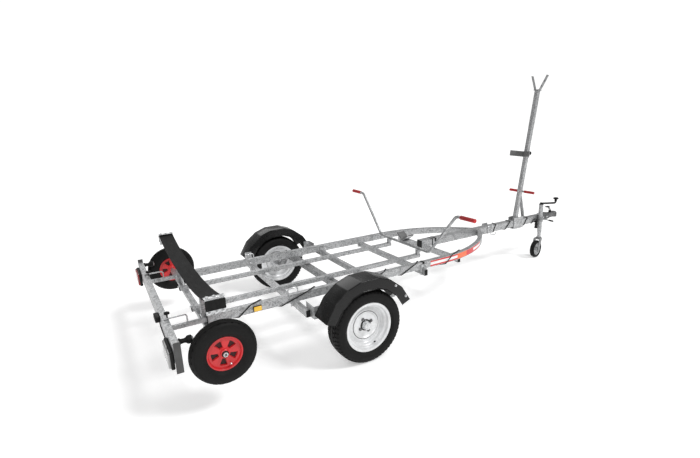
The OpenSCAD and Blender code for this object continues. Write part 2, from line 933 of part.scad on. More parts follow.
module board_hoops() {
    z = board_top_z + 5 + seat;
    color(zinc)
        both_sides()
            bent_rod([
                [board_x - 30, rail_y, z], [board_x + 108, rail_y, z],
                [board_x + 108, rail_y, slide_z + slide_w / 2 + seat]
            ], 5);
}

// End plates of the board, and the arms that reach forward with the front lamps
module lamp_brackets() {
    plate_t = 4;
    arm_l = 76;
    arm_w = 36;
    color(black)
        both_sides() {
            translate([board_rear_x, board_l / 2 + seat, board_top_z - 165]) cube([board_d, plate_t, 190]);
            translate([board_x + seat, launch_y - launch_w / 2 - 7 - arm_w, board_top_z - 35])
                cube([arm_l, arm_w, 50]);
        }
}

module tail_lamps() {
    color(red)
        both_sides()
            translate([board_rear_x - lamp_d, lamp_y - lamp_l / 2, board_top_z - lamp_h - 38])
                cube([lamp_d - seat, lamp_l, lamp_h]);
}

module number_plate_lamp() {
    color(black)
        translate([board_rear_x - 32, -400, board_top_z - 46]) cube([32 - seat, 90, 40]);
}

// ---------------------------------------------------------------- fittings

module side_markers() {
    color(amber)
        both_sides()
            translate([-690, rail_y + rail_w / 2 + seat, rail_z + 6]) cube([62, 16, 40]);
}

module lashing_hoops() {
    color(zinc)
        both_sides()
            bent_rod([
                [-420, rail_y, rail_top_z + seat], [-420, rail_y, rail_top_z + 42],
                [-345, rail_y, rail_top_z + 42], [-345, rail_y, rail_top_z + seat]
            ], 5);
}

// Point beside the right side rail: s along it, o outwards and h up from its middle
function by_rail(s, o, h) =
    let (a = max(0, s - bend_x) / (bend_r - rail_w / 2) * 180 / PI, r = bend_r - rail_w / 2 + o)
    [min(s, bend_x) + r * sin(a), -bend_centre_y - r * cos(a), slide_z + h];

function by_bar(s, o, h) = [s, -o, rail_z + bar_w / 2 + h];

// Two points where the cable rounds edge k of a bar of half width a and half height b
function round_edge(k, a, b) =
    let (c = loom_gap, e = 0.41 * loom_gap)
    k == 0 ? [[a + e, -b - c], [a + c, -b - e]]
    : k == 1 ? [[a + c, b + e], [a + e, b + c]]
    : k == 2 ? [[-a - e, b + c], [-a - c, b + e]]
    : [[-a - c, -b - e], [-a - e, -b - c]];

// Straight runs that share the cable's corners with the spirals
loom_path = concat(
    [by_rail(loom_start, -10, -rail_h / 2 - loom_gap)],
    [for (t = rail_turns) for (k = [0:3]) for (j = [0, 1])
        let (q = round_edge(k, rail_w / 2, rail_h / 2)[j]) by_rail(t[k] + 6 * j - 3, q[0], q[1])],
    [for (x = [1580:150:2030]) by_rail(x, -8, -rail_h / 2 - loom_gap)],
    [for (x = [2020, 2085, 2150]) [x, -22, rail_z - loom_gap]],
    [for (t = bar_turns) for (k = [0:3]) for (j = [0, 1])
        let (q = round_edge(k, bar_w / 2, bar_w / 2)[j]) by_bar(t[k] + 6 * j - 3, q[0], q[1])],
    [by_bar(2812, bar_w / 2 + 1.8, -bar_w / 2 - loom_gap), by_bar(2816, bar_w / 2 + loom_gap, -34)],
    [[2838, -41, 446], [2855, -50, 461], [2868, -57, 456], [plug_x, plug_y, plug_top_z + seat]]
);

loom_sides = 8;
function loom_dir(i) =
    unit(loom_path[min(i + 1, len(loom_path) - 1)] - loom_path[max(i - 1, 0)]);
// Normals carried along the path, each turned as little as possible from the one before
function flat_to(n, d) = unit(n - (n * d) * d);

module wiring_loom() {
    n = len(loom_path);
    normals = [for (i = 0, v = flat_to([0, 0, 1], loom_dir(0)); i < n;
        i = i + 1, v = i < n ? flat_to(v, loom_dir(i)) : v) v];
    points = [
        for (i = [0:n - 1]) for (k = [0:loom_sides - 1])
            let (d = loom_dir(i), m = normals[i], a = 360 * k / loom_sides)
            loom_path[i] + loom_r * (cos(a) * m + sin(a) * cross(d, m))
    ];
    faces = concat(
        [[for (k = [loom_sides - 1:-1:0]) k]],
        [for (i = [0:n - 2]) for (k = [0:loom_sides - 1])
            let (p = i * loom_sides, q = p + loom_sides, l = (k + 1) % loom_sides)
            each [[p + k, p + l, q + l], [p + k, q + l, q + k]]],
        [[for (k = [0:loom_sides - 1]) (n - 1) * loom_sides + k]]
    );
    color(black) polyhedron(points, faces);
}

module trailer_plug() {
    color(black)
        translate([plug_x, plug_y, 0]) {
            translate([0, 0, plug_top_z - 90]) cylinder(h = 90, r = 19);
            translate([-10, 0, plug_top_z - 24]) cube([20, -bar_w / 2 - plug_y, 16]);
        }
}

from_axle() side_rail_left();
from_axle() side_rail_right();
from_axle() drawbar();
from_axle() cross_beams();
from_axle() beam_end_caps();
from_axle() torsion_axle();
from_axle() axle_brackets();
from_axle() swing_arms();
from_axle() mudguard_left();
from_axle() mudguard_right();
from_axle() mudguard_stays();
from_axle() coupling_head();
from_axle() coupling_handle();
from_axle() drawbar_plates();
from_axle() stowage_hook();
from_axle() jockey_clamp();
from_axle() jockey_outer_tube();
from_axle() jockey_crank();
from_axle() mast_post();
from_axle() mast_base();
from_axle() mast_brace();
from_axle() mast_fork();
from_axle() post_handlebar();
from_axle() post_grips();
from_axle() bow_rest();
from_axle() bow_rest_pads();
from_axle() side_markers();
from_axle() lashing_hoops();
from_axle() wiring_loom();
from_axle() trailer_plug();
from_axle() light_board();
from_axle() light_slides();
from_axle() board_hoops();
from_axle() lamp_brackets();
from_axle() tail_lamps();
from_axle() number_plate_lamp();
from_axle() launch_tyre_left();
from_axle() launch_rim_left();
from_axle() launch_tyre_right();
from_axle() launch_rim_right();
from_axle() road_tyre_left();
from_axle() road_rim_left();
from_axle() road_hub_left();
from_axle() road_tyre_right();
from_axle() road_rim_right();
from_axle() road_hub_right();
from_axle() jockey_leg();
from_axle() jockey_fork();
from_axle() jockey_tyre();
from_axle() jockey_rim();
from_axle() trolley_rails();
from_axle() trolley_axle();
from_axle() cradle_uprights();
from_axle() cradle_belt();
from_axle() belt_clamps();
from_axle() keel_rest();
from_axle() keel_pads();
from_axle() trolley_handlebar();
from_axle() trolley_grips();
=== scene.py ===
import math
from contextlib import contextmanager

import bmesh
import bpy
from bpy.props import FloatProperty, FloatVectorProperty, IntProperty
from mathutils import Matrix, Vector


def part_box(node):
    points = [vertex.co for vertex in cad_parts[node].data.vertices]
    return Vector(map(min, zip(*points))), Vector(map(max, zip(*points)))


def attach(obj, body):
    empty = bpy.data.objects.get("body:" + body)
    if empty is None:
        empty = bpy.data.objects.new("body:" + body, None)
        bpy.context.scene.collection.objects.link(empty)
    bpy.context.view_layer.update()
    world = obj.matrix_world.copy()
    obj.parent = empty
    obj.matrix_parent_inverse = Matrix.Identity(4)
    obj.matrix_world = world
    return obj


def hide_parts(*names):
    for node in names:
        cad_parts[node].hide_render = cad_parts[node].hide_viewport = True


bl_info = {
    "name": "Boat trailer",
    "version": (1, 0, 0),
    "blender": (4, 5, 0),
    "location": "3D Viewport > Sidebar > Trailer",
    "description": "Dresses the packed boat trailer with its wheels, fittings, lamps and finishes",
    "category": "Object",
}

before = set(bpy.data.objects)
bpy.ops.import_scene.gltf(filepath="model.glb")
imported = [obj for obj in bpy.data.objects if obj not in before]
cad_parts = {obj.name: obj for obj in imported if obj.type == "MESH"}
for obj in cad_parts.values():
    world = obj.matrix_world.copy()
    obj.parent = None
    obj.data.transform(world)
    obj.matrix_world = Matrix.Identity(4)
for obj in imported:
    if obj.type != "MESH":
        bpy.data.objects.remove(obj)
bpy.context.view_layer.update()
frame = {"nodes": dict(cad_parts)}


def middle(node):
    """Middle of a frame node's box."""
    low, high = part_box(node)
    return (low + high) / 2


AXLE_X = round(middle("road_rim_right").x, 3)
UP = Vector((0.0, 0.0, 1.0))
ACROSS = Vector((0.0, 1.0, 0.0))
AHEAD = Vector((1.0, 0.0, 0.0))
MIRROR_Y = Matrix.Scale(-1.0, 4, ACROSS)
SMOOTH_BELOW = math.radians(32)
MERGE_WITHIN = 0.00001


def at(x, y, z):
    """Point measured in metres from the road axle, the middle plane and the ground."""
    return Vector((AXLE_X + x, y, z))


# ---------------------------------------------------------------- modelling by operators


def alone(piece=None):
    """Deselects everything, then picks one piece."""
    if bpy.context.object and bpy.context.object.mode != "OBJECT":
        bpy.ops.object.mode_set(mode="OBJECT")
    bpy.ops.object.select_all(action="DESELECT")
    if piece is not None:
        piece.select_set(True)
        bpy.context.view_layer.objects.active = piece
    return piece


def settled(name):
    """Names the new object and puts its place into its mesh."""
    piece = bpy.context.object
    piece.name = name
    piece.data.name = name
    bpy.ops.object.transform_apply(location=True, rotation=True, scale=True)
    return piece


@contextmanager
def editing(piece):
    """Edit mode on one piece, with all of it selected."""
    alone(piece)
    bpy.ops.object.mode_set(mode="EDIT")
    bpy.ops.mesh.select_mode(type="VERT")
    bpy.ops.mesh.select_all(action="SELECT")
    yield piece
    bpy.ops.object.mode_set(mode="OBJECT")


def pick(piece, kind, wanted):
    """Selects the faces, edges or vertices for which wanted(element) is true."""
    bpy.ops.mesh.select_all(action="DESELECT")
    bpy.ops.mesh.select_mode(type={"faces": "FACE", "edges": "EDGE", "verts": "VERT"}[kind])
    mesh = bmesh.from_edit_mesh(piece.data)
    for element in getattr(mesh, kind):
        if wanted(element):
            element.select_set(True)
    mesh.select_flush_mode()
    bmesh.update_edit_mesh(piece.data)


def extruded(step):
    """Extrudes the selection by a step."""
    bpy.ops.mesh.extrude_region_move(TRANSFORM_OT_translate={"value": step})


def cleaned():
    """Closes seams and poles, and turns the faces outwards."""
    bpy.ops.mesh.select_all(action="SELECT")
    bpy.ops.mesh.remove_doubles(threshold=MERGE_WITHIN)
    bpy.ops.mesh.delete_loose()
    bpy.ops.mesh.select_all(action="SELECT")
    bpy.ops.mesh.normals_make_consistent(inside=False)


def chain(name, points):
    """A row of edges through some points, still to be widened or spun."""
    alone()
    bpy.ops.mesh.primitive_plane_add(size=0.01, location=points[0])
    piece = settled(name)
    with editing(piece):
        bpy.ops.mesh.merge(type="CENTER")
        for a, b in zip(points, points[1:]):
            extruded(b - a)
    return piece


def cube(low, high):
    """Plain box between two corners, the new active object."""
    alone()
    bpy.ops.mesh.primitive_cube_add(size=1.0, location=(low + high) / 2, scale=high - low)


def rounded(piece, width, angle, segments=3):
    """Rounds the edges that are sharper than an angle in degrees."""
    modified(
        piece, "BEVEL", width=width, segments=segments, limit_method="ANGLE",
        angle_limit=math.radians(angle),
    )


def block(name, low, high, edge=0.0015, segments=2):
    """Bar or plate between two corners, with rounded edges."""
    cube(Vector(low), Vector(high))
    piece = settled(name)
    with editing(piece):
        bpy.ops.mesh.bevel(offset=edge, segments=segments, affect="EDGES")
    return piece


def turned(name, profile, centre, axis=ACROSS, steps=64, closed=False):
    """Round piece. The profile lists (radius, distance along the axis) from one end to the other."""
    side = UP if abs(axis.z) < 0.5 else AHEAD
    points = [centre + side * radius + axis * along for radius, along in profile]
    if closed:
        points.append(points[0])
    piece = chain(name, points)
    with editing(piece):
        bpy.ops.mesh.remove_doubles(threshold=MERGE_WITHIN)
        bpy.ops.mesh.spin(steps=steps, angle=2 * math.pi, center=centre, axis=axis)
        cleaned()
    return piece


def pipe(name, corners, radius, bend=0.04, sides=14):
    """Round bar along straight runs, with a smooth bend at each corner."""
    corners = [Vector(c) for c in corners]
    ahead = (corners[1] - corners[0]).normalized()
    alone()
    bpy.ops.mesh.primitive_circle_add(
        vertices=sides, radius=radius, fill_type="NGON", location=corners[0],
        rotation=ahead.to_track_quat("Z", "X").to_euler(),
    )
    piece = settled(name)
    with editing(piece):
        here = corners[0]
        for a, b, c in zip(corners, corners[1:], corners[2:]):
            into, out = (b - a).normalized(), (c - b).normalized()
            angle = into.angle(out)
            back = bend * math.tan(angle / 2)
            start = b - into * back
            extruded(start - here)
            axis = into.cross(out).normalized()
            centre = start + axis.cross(into) * bend
            bpy.ops.mesh.spin(
                steps=max(3, round(angle * 8)), angle=-angle, center=centre, axis=axis
            )
            here = b + out * back
        extruded(corners[-1] - here)
        cleaned()
    return piece


def copied(piece, name, place):
    """A second piece with its own mesh, moved or mirrored by a matrix."""
    alone(piece)
    bpy.ops.object.duplicate(linked=False)
    made = bpy.context.object
    made.name = name
    made.data.name = name
    made.data.transform(place)
    if place.determinant() < 0:
        with editing(made):
            bpy.ops.mesh.flip_normals()
    return made


def joined(name, parts):
    """Several parts as one piece."""
    alone(parts[0])
    for part in parts[1:]:
        part.select_set(True)
    bpy.ops.object.join()
    piece = bpy.context.object
    piece.name = name
    piece.data.name = name
    return piece


def modified(piece, kind, **settings):
    """Adds a modifier and applies it."""
    alone(piece)
    modifier = piece.modifiers.new(kind.title(), kind)
    for key, value in settings.items():
        setattr(modifier, key, value)
    bpy.ops.object.modifier_apply(modifier=modifier.name)
    return piece


def done(piece, body, slot, stands_for=(), finish=None):
    """Shades a piece, gives it its finish, hangs it on its body and hides the frame nodes it stands for.
    """
    alone(piece)
    bpy.ops.object.shade_smooth_by_angle(angle=SMOOTH_BELOW)
    if not piece.data.materials:
        piece.data.materials.append(FINISHES[finish or slot])
    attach(piece, body)
    if stands_for:
        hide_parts(*stands_for)


def opposite(name):
    """The same name for the other side of the trailer."""
    if "left" in name:
        return name.replace("left", "right")
    return name.replace("right", "left")


def mirrored(piece, body, slot, stands_for=(), finish=None):
    """Finishes a piece and its mirror image on the other side."""
    other = copied(piece, opposite(piece.name), MIRROR_Y)
    done(piece, body, slot, stands_for, finish)
    done(other, body, slot, [opposite(node) for node in stands_for], finish)


def both_wheels(name, make, body, slot, node=None, finish=None):
    """A wheel piece on the left, and its mirror image on the right. {} in a finish takes the side."""
    left = make(name + "_left")
    right = copied(left, name + "_right", MIRROR_Y)
    for piece, side in ((left, "left"), (right, "right")):
        stands_for = (f"{node}_{side}",) if node else ()
        done(piece, f"{body}_{side}", slot, stands_for, (finish or slot).format(side))


def around(angle):
    """Direction about a wheel's axle, in degrees up from straight ahead."""
    turn = math.radians(angle)
    return Vector((math.cos(turn), 0.0, math.sin(turn)))


def facing(point, direction):
    """Matrix that takes a fitting modelled on +Z to a point and a direction."""
    turn = Vector(direction).to_track_quat("Z", "X").to_matrix().to_4x4()
    return Matrix.Translation(point) @ turn


# ---------------------------------------------------------------- finishes


class Value:
    """A socket of a finish. Arithmetic on it adds Math nodes."""

    def __init__(self, finish, socket):
        self.finish = finish
        self.socket = socket

    def math(self, operation, first, second=0.0):
        return self.finish.node(
            "ShaderNodeMath", {"operation": operation}, {0: first, 1: second}
        )

    def __add__(self, other):
        return self.math("ADD", self, other)

    def __sub__(self, other):
        return self.math("SUBTRACT", self, other)

    def __rsub__(self, other):
        return self.math("SUBTRACT", other, self)

    def __mul__(self, other):
        return self.math("MULTIPLY", self, other)

    def __gt__(self, other):
        return self.math("GREATER_THAN", self, other)

    def __lt__(self, other):
        return self.math("LESS_THAN", self, other)

    def ripple(self):
        """Rises and falls evenly between 0 and a half."""
        return self.math("PINGPONG", self, 0.5)

    def root(self):
        return self.math("SQRT", self)

    __radd__ = __add__
    __rmul__ = __mul__


class Finish:
    """One finish of the trailer, built up node by node on its Principled shader."""

    def __init__(self, name, constants=None):
        self.material = bpy.data.materials.new(name)
        self.material.use_nodes = True
        self.tree = self.material.node_tree
        self.shader = self.tree.nodes["Principled BSDF"]
        for socket, value in (constants or {}).items():
            self.shader.inputs[socket].default_value = value

    def feed(self, socket, value):
        """Links a value into a socket, or sets the socket to a constant."""
        if isinstance(value, Value):
            self.tree.links.new(value.socket, socket)
        else:
            socket.default_value = value

    def node(self, kind, settings=None, inputs=None, output=0):
        """Adds a node: its settings first, then the values or links of its sockets."""
        made = self.tree.nodes.new(kind)
        for key, value in (settings or {}).items():
            if key == "stops":
                ramp = made.color_ramp.elements
                while len(ramp) < len(value):
                    ramp.new(0.5)
                for stop, (position, colour) in zip(ramp, value):
                    stop.position = position
                    stop.color = colour
            else:
                setattr(made, key, value)
        for key, value in (inputs or {}).items():
            self.feed(made.inputs[key], value)
        return Value(self, made.outputs[output])

    def place(self, centre=None, turn=(0.0, 0.0, 0.0), scale=(1.0, 1.0, 1.0)):
        """Object coordinates, measured from a centre and stretched if asked."""
        here = self.node("ShaderNodeTexCoord", output="Object")
        if centre is None and turn == (0.0, 0.0, 0.0) and scale == (1.0, 1.0, 1.0):
            return here
        moved = self.node(
            "ShaderNodeVectorMath", {"operation": "SUBTRACT"},
            {0: here, 1: centre or (0.0, 0.0, 0.0)},
        )
        return self.node(
            "ShaderNodeMapping", None, {"Vector": moved, "Rotation": turn, "Scale": scale}
        )

    def split(self, vector):
        made = self.tree.nodes.new("ShaderNodeSeparateXYZ")
        self.feed(made.inputs[0], vector)
        return [Value(self, out) for out in made.outputs]

    def noise(self, vector, scale, detail=3.0, roughness=0.55):
        return self.node(
            "ShaderNodeTexNoise", None,
            {"Vector": vector, "Scale": scale, "Detail": detail, "Roughness": roughness},
        )

    def cells(self, vector, scale):
        """A different grey for each cell, as on spangled zinc."""
        colour = self.node(
            "ShaderNodeTexVoronoi", None, {"Vector": vector, "Scale": scale}, "Color"
        )
        return self.node("ShaderNodeSeparateColor", None, {"Color": colour})

    def ranged(self, value, low, high, to_low=0.0, to_high=1.0):
        return self.node(
            "ShaderNodeMapRange", {"clamp": True},
            {"Value": value, "From Min": low, "From Max": high, "To Min": to_low, "To Max": to_high},
        )

    def mix(self, factor, first, second):
        return self.node(
            "ShaderNodeMix", {"data_type": "RGBA"}, {0: factor, 6: first, 7: second}, 2
        )

    def set(self, socket, value):
        self.feed(self.shader.inputs[socket], value)

    def bumped(self, height, strength=0.3, depth=0.001):
        self.set("Normal", self.node(
            "ShaderNodeBump", None,
            {"Height": height, "Strength": strength, "Distance": depth},
        ))


def grey(value, tint=0.0):
    """Linear grey, a little cooler where the tint is above zero."""
    return (value * (1 - tint), value, value * (1 + tint), 1.0)


def spangled(name, light, dark, metal, rough, grain):
    """Hot-dip zinc: crystals, cloudy patches, drips and fine grit."""
    finish = Finish(name, {"Metallic": metal})
    place = finish.place()
    crystals = finish.cells(place, grain)
    clouds = finish.noise(place, 14.0, 5.0, 0.62)
    drips = finish.noise(finish.place(scale=(3.0, 3.0, 24.0)), 2.2, 4.0)
    grit = finish.noise(place, 420.0, 2.0)
    fine = finish.noise(place, 55.0, 4.0, 0.7)
    tone = clouds * 0.30 + crystals * 0.24 + drips * 0.16 + fine * 0.30
    weathered = finish.ranged(tone, 0.37, 0.57)
    finish.set("Base Color", finish.mix(weathered, grey(dark, 0.02), grey(light, 0.01)))
    shine = crystals * 0.5 + clouds * 0.5
    finish.set("Roughness", finish.ranged(shine, 0.25, 0.75, rough + 0.12, rough - 0.1))
    finish.bumped(crystals * 0.35 + grit * 0.4 + drips * 0.25, 0.32, 0.0009)
    return finish.material


def moulded(name, colour, shade, rough, grain=900.0, constants=None):
    """Moulded plastic: a fine grain, faint flow marks and scuffs."""
    finish = Finish(name, constants)
    place = finish.place()
    flow = finish.noise(place, 7.0, 3.0)
    fine = finish.noise(place, grain, 2.0)
    scratched = finish.noise(finish.place(turn=(0.3, 0.5, 0.2), scale=(90.0, 6.0, 40.0)), 3.0, 5.0, 0.7)
    marks = finish.ranged(scratched, 0.62, 0.76)
    finish.set("Base Color", finish.mix(finish.ranged(flow, 0.35, 0.68), shade, colour))
    finish.set("Roughness", finish.ranged(flow, 0.3, 0.7, rough - 0.05, rough + 0.06) + marks * 0.25)
    finish.bumped(fine * 0.6 + marks * 0.2, 0.12, 0.0006)
    return finish.material


def lens(name, colour, deep, ribs):
    """Moulded lens with a fine criss-cross of ribs behind it."""
    finish = Finish(name, {"Coat Weight": 0.7, "Coat Roughness": 0.06, "IOR": 1.49})
    x, y, z = finish.split(finish.place())
    ridge = ((y + x) * ribs).ripple()
    rows = (z * ribs).ripple()
    cells = ridge + rows
    finish.set("Base Color", finish.mix(finish.ranged(cells, 0.15, 0.85), deep, colour))
    finish.set("Roughness", finish.ranged(cells, 0.0, 1.0, 0.16, 0.3))
    finish.bumped(cells, 0.35, 0.0012)
    return finish.material


def rubber(name, centre, radius, tread_from, shade=0.006):
    """Tyre rubber: rings on the side wall, dust in the tread and a dull bloom."""
    finish = Finish(name, {"Specular IOR Level": 0.2})
    place = finish.place(centre)
    x, _, z = finish.split(place)
    ring = (x * x + z * z).root()
    rings = (ring * 260.0).ripple()
    wall = ring < tread_from
    bloom = finish.noise(place, 16.0, 4.0)
    dust = finish.noise(place, 60.0, 5.0, 0.7)
    worn = finish.ranged(ring, radius - 0.012, radius, 0.0, 1.0)
    tone = finish.ranged(bloom * 0.5 + dust * 0.5 + worn * 0.16, 0.35, 0.75)
    finish.set("Base Color", finish.mix(tone, grey(shade * 0.55), grey(shade * 1.7, -0.03)))
    finish.set("Roughness", finish.ranged(bloom, 0.3, 0.7, 0.52, 0.74))
    finish.bumped(rings * wall * 0.8 + dust * 0.3, 0.4, 0.0008)
    return finish.material


def enamel(name, colour, shade, groove, centre):
    """Sprayed rim paint: faint orange peel, brake dust, and a near-black line in the groove as painted
    shade.
    """
    finish = Finish(name, {"Metallic": 0.25, "Coat Weight": 0.35, "Coat Roughness": 0.12})
    place = finish.place(centre)
    clouds = finish.noise(place, 9.0, 4.0)
    peel = finish.noise(place, 330.0, 2.0)
    dust = finish.noise(place, 46.0, 6.0, 0.72)
    tone = finish.ranged(clouds * 0.5 + dust * 0.5, 0.42, 0.68)
    painted = finish.mix(tone, colour, shade)
    x, _, z = finish.split(place)
    ring = (x * x + z * z).root()
    # Near-black ring over the rim's groove: painted shade in the groove.
    line = (ring > groove[0]) * (ring < groove[1])
    finish.set("Base Color", finish.mix(line * 0.82, painted, grey(0.03)))
    finish.set("Roughness", finish.ranged(clouds, 0.3, 0.7, 0.26, 0.42))
    finish.bumped(peel * 0.5 + dust * 0.25, 0.1, 0.0005)
    return finish.material


def belting(name):
    """Reinforced rubber belting: a diagonal weave pressed into it, paler where it is rubbed."""
    finish = Finish(name, {"Specular IOR Level": 0.2})
    place = finish.place()
    x, y, _ = finish.split(place)
    warp = ((x + y) * 230.0).ripple()
    weft = ((x - y) * 230.0).ripple()
    rubbed = finish.noise(finish.place(scale=(14.0, 3.0, 3.0)), 3.0, 5.0, 0.65)
    grime = finish.noise(place, 70.0, 4.0)
    tone = finish.ranged(rubbed * 0.6 + grime * 0.4, 0.38, 0.68)
    finish.set("Base Color", finish.mix(tone, grey(0.005), grey(0.016)))
    finish.set("Roughness", finish.ranged(rubbed, 0.3, 0.7, 0.62, 0.8))
    finish.bumped(warp + weft + grime * 0.6, 0.35, 0.0009)
    return finish.material


def reflective(name, orange, red, white):
    """Marking tape. Its own map gives the distance along the rail and the height on the tape."""
    finish = Finish(name, {"Coat Weight": 0.25, "Coat Roughness": 0.25})
    along, up, _ = finish.split(finish.node("ShaderNodeTexCoord", output="UV"))
    place = finish.place()
    beads = finish.cells(place, 520.0)
    dirt = finish.noise(place, 38.0, 5.0, 0.7)
    border = (up < 0.26) + (up > 0.74)
    cored = finish.mix(border, white, red)
    middle_part = finish.mix(along > 0.58, orange, red)
    solid = (along > 0.405) * (along < 0.75)
    striped = finish.mix(solid, cored, middle_part)
    dirty = finish.mix(finish.ranged(dirt, 0.52, 0.8) * 0.35, striped, grey(0.2))
    finish.set("Base Color", dirty)
    finish.set("Roughness", finish.ranged(beads, 0.0, 1.0, 0.3, 0.5))
    finish.bumped(beads, 0.15, 0.0004)
    return finish.material


FINISHES = {}


def tinted(colour, *shares):
    """A colour with red, green and blue each taken by its share."""
    return (*(part * share for part, share in zip(colour, shares)), 1.0)


def make_finishes(colours):
    """Every finish of the trailer, by name."""
    red = colours.red
    made = FINISHES
    made["zinc"] = spangled("Galvanised steel", 0.52, 0.25, 0.55, 0.42, 130.0)
    made["zinc_dark"] = spangled("Galvanised steel, dull", 0.34, 0.15, 0.55, 0.48, 110.0)
    made["zinc_bright"] = spangled("Bright zinc plate", 0.74, 0.46, 0.8, 0.28, 240.0)
    made["cast_steel"] = spangled("Zinc plated casting", 0.20, 0.07, 0.55, 0.52, 190.0)
    made["black_plastic"] = moulded(
        "Black moulded plastic", grey(0.01), grey(0.004), 0.5, 900.0, {"Specular IOR Level": 0.22}
    )
    made["black_gloss"] = moulded(
        "Black mudguard plastic", grey(0.009), grey(0.004), 0.24, 420.0,
        {"Specular IOR Level": 0.34},
    )
    made["black_rubber"] = moulded(
        "Black rubber", grey(0.012), grey(0.005), 0.62, 500.0, {"Specular IOR Level": 0.2}
    )
    made["cable"] = moulded(
        "Cable sheath", grey(0.008), grey(0.004), 0.42, 700.0, {"Specular IOR Level": 0.25}
    )
    made["red_plastic"] = moulded(
        "Red moulded plastic", (*red, 1.0), tinted(red, 0.72, 0.6, 0.6), 0.36, 600.0,
        {"Coat Weight": 0.2, "Coat Roughness": 0.2},
    )
    # Near-black red for the floors of the launching wheels' recesses: painted shade in the recesses.
    made["red_shadow"] = moulded(
        "Red plastic, soiled", (red[0] * 0.12, 0.001, 0.001, 1.0), (0.006, 0.001, 0.001, 1.0), 0.6,
    )
    made["red_grip"] = moulded(
        "Red rubber grip", tinted(red, 0.86, 0.8, 0.8), tinted(red, 0.5, 0.4, 0.4), 0.55, 500.0,
    )
    made["red_lens"] = lens("Red lamp lens", (0.42, 0.008, 0.006, 1.0), (0.16, 0.002, 0.002, 1.0), 150.0)
    made["amber_lens"] = lens("Amber lamp lens", (1.0, 0.68, 0.05, 1.0), (0.90, 0.44, 0.01, 1.0), 150.0)
    made["clear_lens"] = lens("Clear lamp lens", grey(0.42), grey(0.22), 150.0)
    made["grey_rubber"] = moulded("Grey rubber", grey(0.22), grey(0.10), 0.7, 300.0)
    made["grey_plastic"] = moulded("Dark grey plastic", grey(0.075), grey(0.04), 0.45, 700.0)
    made["belt_rubber"] = belting("Rubber belting")
    made["tape"] = reflective(
        "Marking tape", (*colours.orange, 1.0), (*colours.tape_red, 1.0), grey(0.86)
    )
    for side in ("left", "right"):
        wheel = middle(f"road_tyre_{side}")
        made[f"rim_paint_{side}"] = enamel(
            f"Silver rim paint, {side}", grey(0.80, 0.01), grey(0.62), (0.1015, 0.1065), wheel
        )
        made[f"road_rubber_{side}"] = rubber(f"Road tyre rubber, {side}", wheel, 0.268, 0.238)
        made[f"launch_rubber_{side}"] = rubber(
            f"Launching tyre rubber, {side}", middle(f"launch_tyre_{side}"), 0.2, 0.178
        )
    made["jockey_rubber"] = rubber("Jockey tyre rubber", middle("jockey_tyre"), 0.1, 0.09)


KEPT_NODES = {
    "zinc": [
        "side_rail_left", "side_rail_right", "drawbar", "cross_beams", "mudguard_stays",
        "drawbar_plates", "mast_post", "mast_base", "bow_rest", "jockey_outer_tube",
        "light_board", "light_slides", "trolley_rails", "trolley_axle", "cradle_uprights",
        "keel_rest", "jockey_leg",
    ],
    "zinc_dark": [
        "torsion_axle", "axle_brackets", "swing_arms", "mast_brace", "jockey_fork",
        "jockey_clamp", "mast_fork",
    ],
    "zinc_bright": ["road_hub_left", "road_hub_right"],
    "black_plastic": ["beam_end_caps"],
    "grey_rubber": ["bow_rest_pads", "keel_pads"],
}


# ---------------------------------------------------------------- sizes and colours


class TrailerColours(bpy.types.PropertyGroup):
    red: FloatVectorProperty(
        name="Red", description="Wheel discs and hand grips", subtype="COLOR",
        default=(0.66, 0.021, 0.026), min=0.0, max=1.0,
    )
    orange: FloatVectorProperty(
        name="Tape orange", description="Orange length of the marking tape", subtype="COLOR",
        default=(0.92, 0.16, 0.05), min=0.0, max=1.0,
    )
    tape_red: FloatVectorProperty(
        name="Tape red", description="Red borders and length of the marking tape", subtype="COLOR",
        default=(0.66, 0.02, 0.02), min=0.0, max=1.0,
    )


class TrailerWheels(bpy.types.PropertyGroup):
    tread_blocks: IntProperty(
        name="Tread blocks", description="Blocks round the shoulder of a road tyre",
        default=54, min=24, max=72,
    )
    recesses: IntProperty(
        name="Recesses", description="Fan-shaped recesses in a launching wheel",
        default=5, min=3, max=8,
    )


class TrailerFittings(bpy.types.PropertyGroup):
    bend: FloatProperty(
        name="Handlebar bend", description="Bend radius of the trolley's handlebar",
        default=0.07, min=0.03, max=0.12, subtype="DISTANCE", unit="LENGTH",
    )
    tape_start: FloatProperty(
        name="Tape start", description="Start of the tape, ahead of the road axle",
        default=0.89, min=0.5, max=1.0, subtype="DISTANCE", unit="LENGTH",
    )
    tape_end: FloatProperty(
        name="Tape end", description="End of the tape, ahead of the road axle",
        default=1.68, min=1.2, max=1.8, subtype="DISTANCE", unit="LENGTH",
    )


class TrailerStage(bpy.types.PropertyGroup):
    floor_tone: FloatProperty(
        name="Floor tone", description="How pale the floor is", default=0.9, min=0.3, max=1.0,
    )
    key_strength: FloatProperty(
        name="Key light", description="Strength of the large soft light", default=1.6,
        min=0.0, max=20.0,
    )


class PieceOperator:
    bl_options = {"REGISTER", "UNDO"}

    @classmethod
    def poll(cls, context):
        return bool(frame["nodes"])


class TRAILER_OT_finishes(PieceOperator, bpy.types.Operator):
    """Makes every finish, and gives the frame's own parts theirs"""

    bl_idname = "trailer.finishes"
    bl_label = "Finishes"

    def execute(self, context):
        make_finishes(context.scene.trailer_colours)
        for finish, nodes in KEPT_NODES.items():
            for node in nodes:
                kept = frame["nodes"][node]
                for slot in kept.material_slots:
                    slot.material = FINISHES[finish]
        return {"FINISHED"}


# ---------------------------------------------------------------- wheels


def whole_profile(half):
    """Profile of a wheel piece from its outer half, which runs from the bead to the tread."""
    return half + [(radius, -along) for radius, along in reversed(half)]


def sector_of(centre, point, sectors):
    """Number of the sector, counted round a wheel's axle, that a point lies in."""
    turn = math.atan2(point.z - centre.z, point.x - centre.x) / (2 * math.pi)
    return int((turn % 1.0) * sectors + 0.001)


def radius_of(centre, point):
    """Distance of a point from a wheel's axle."""
    return math.hypot(point.x - centre.x, point.z - centre.z)


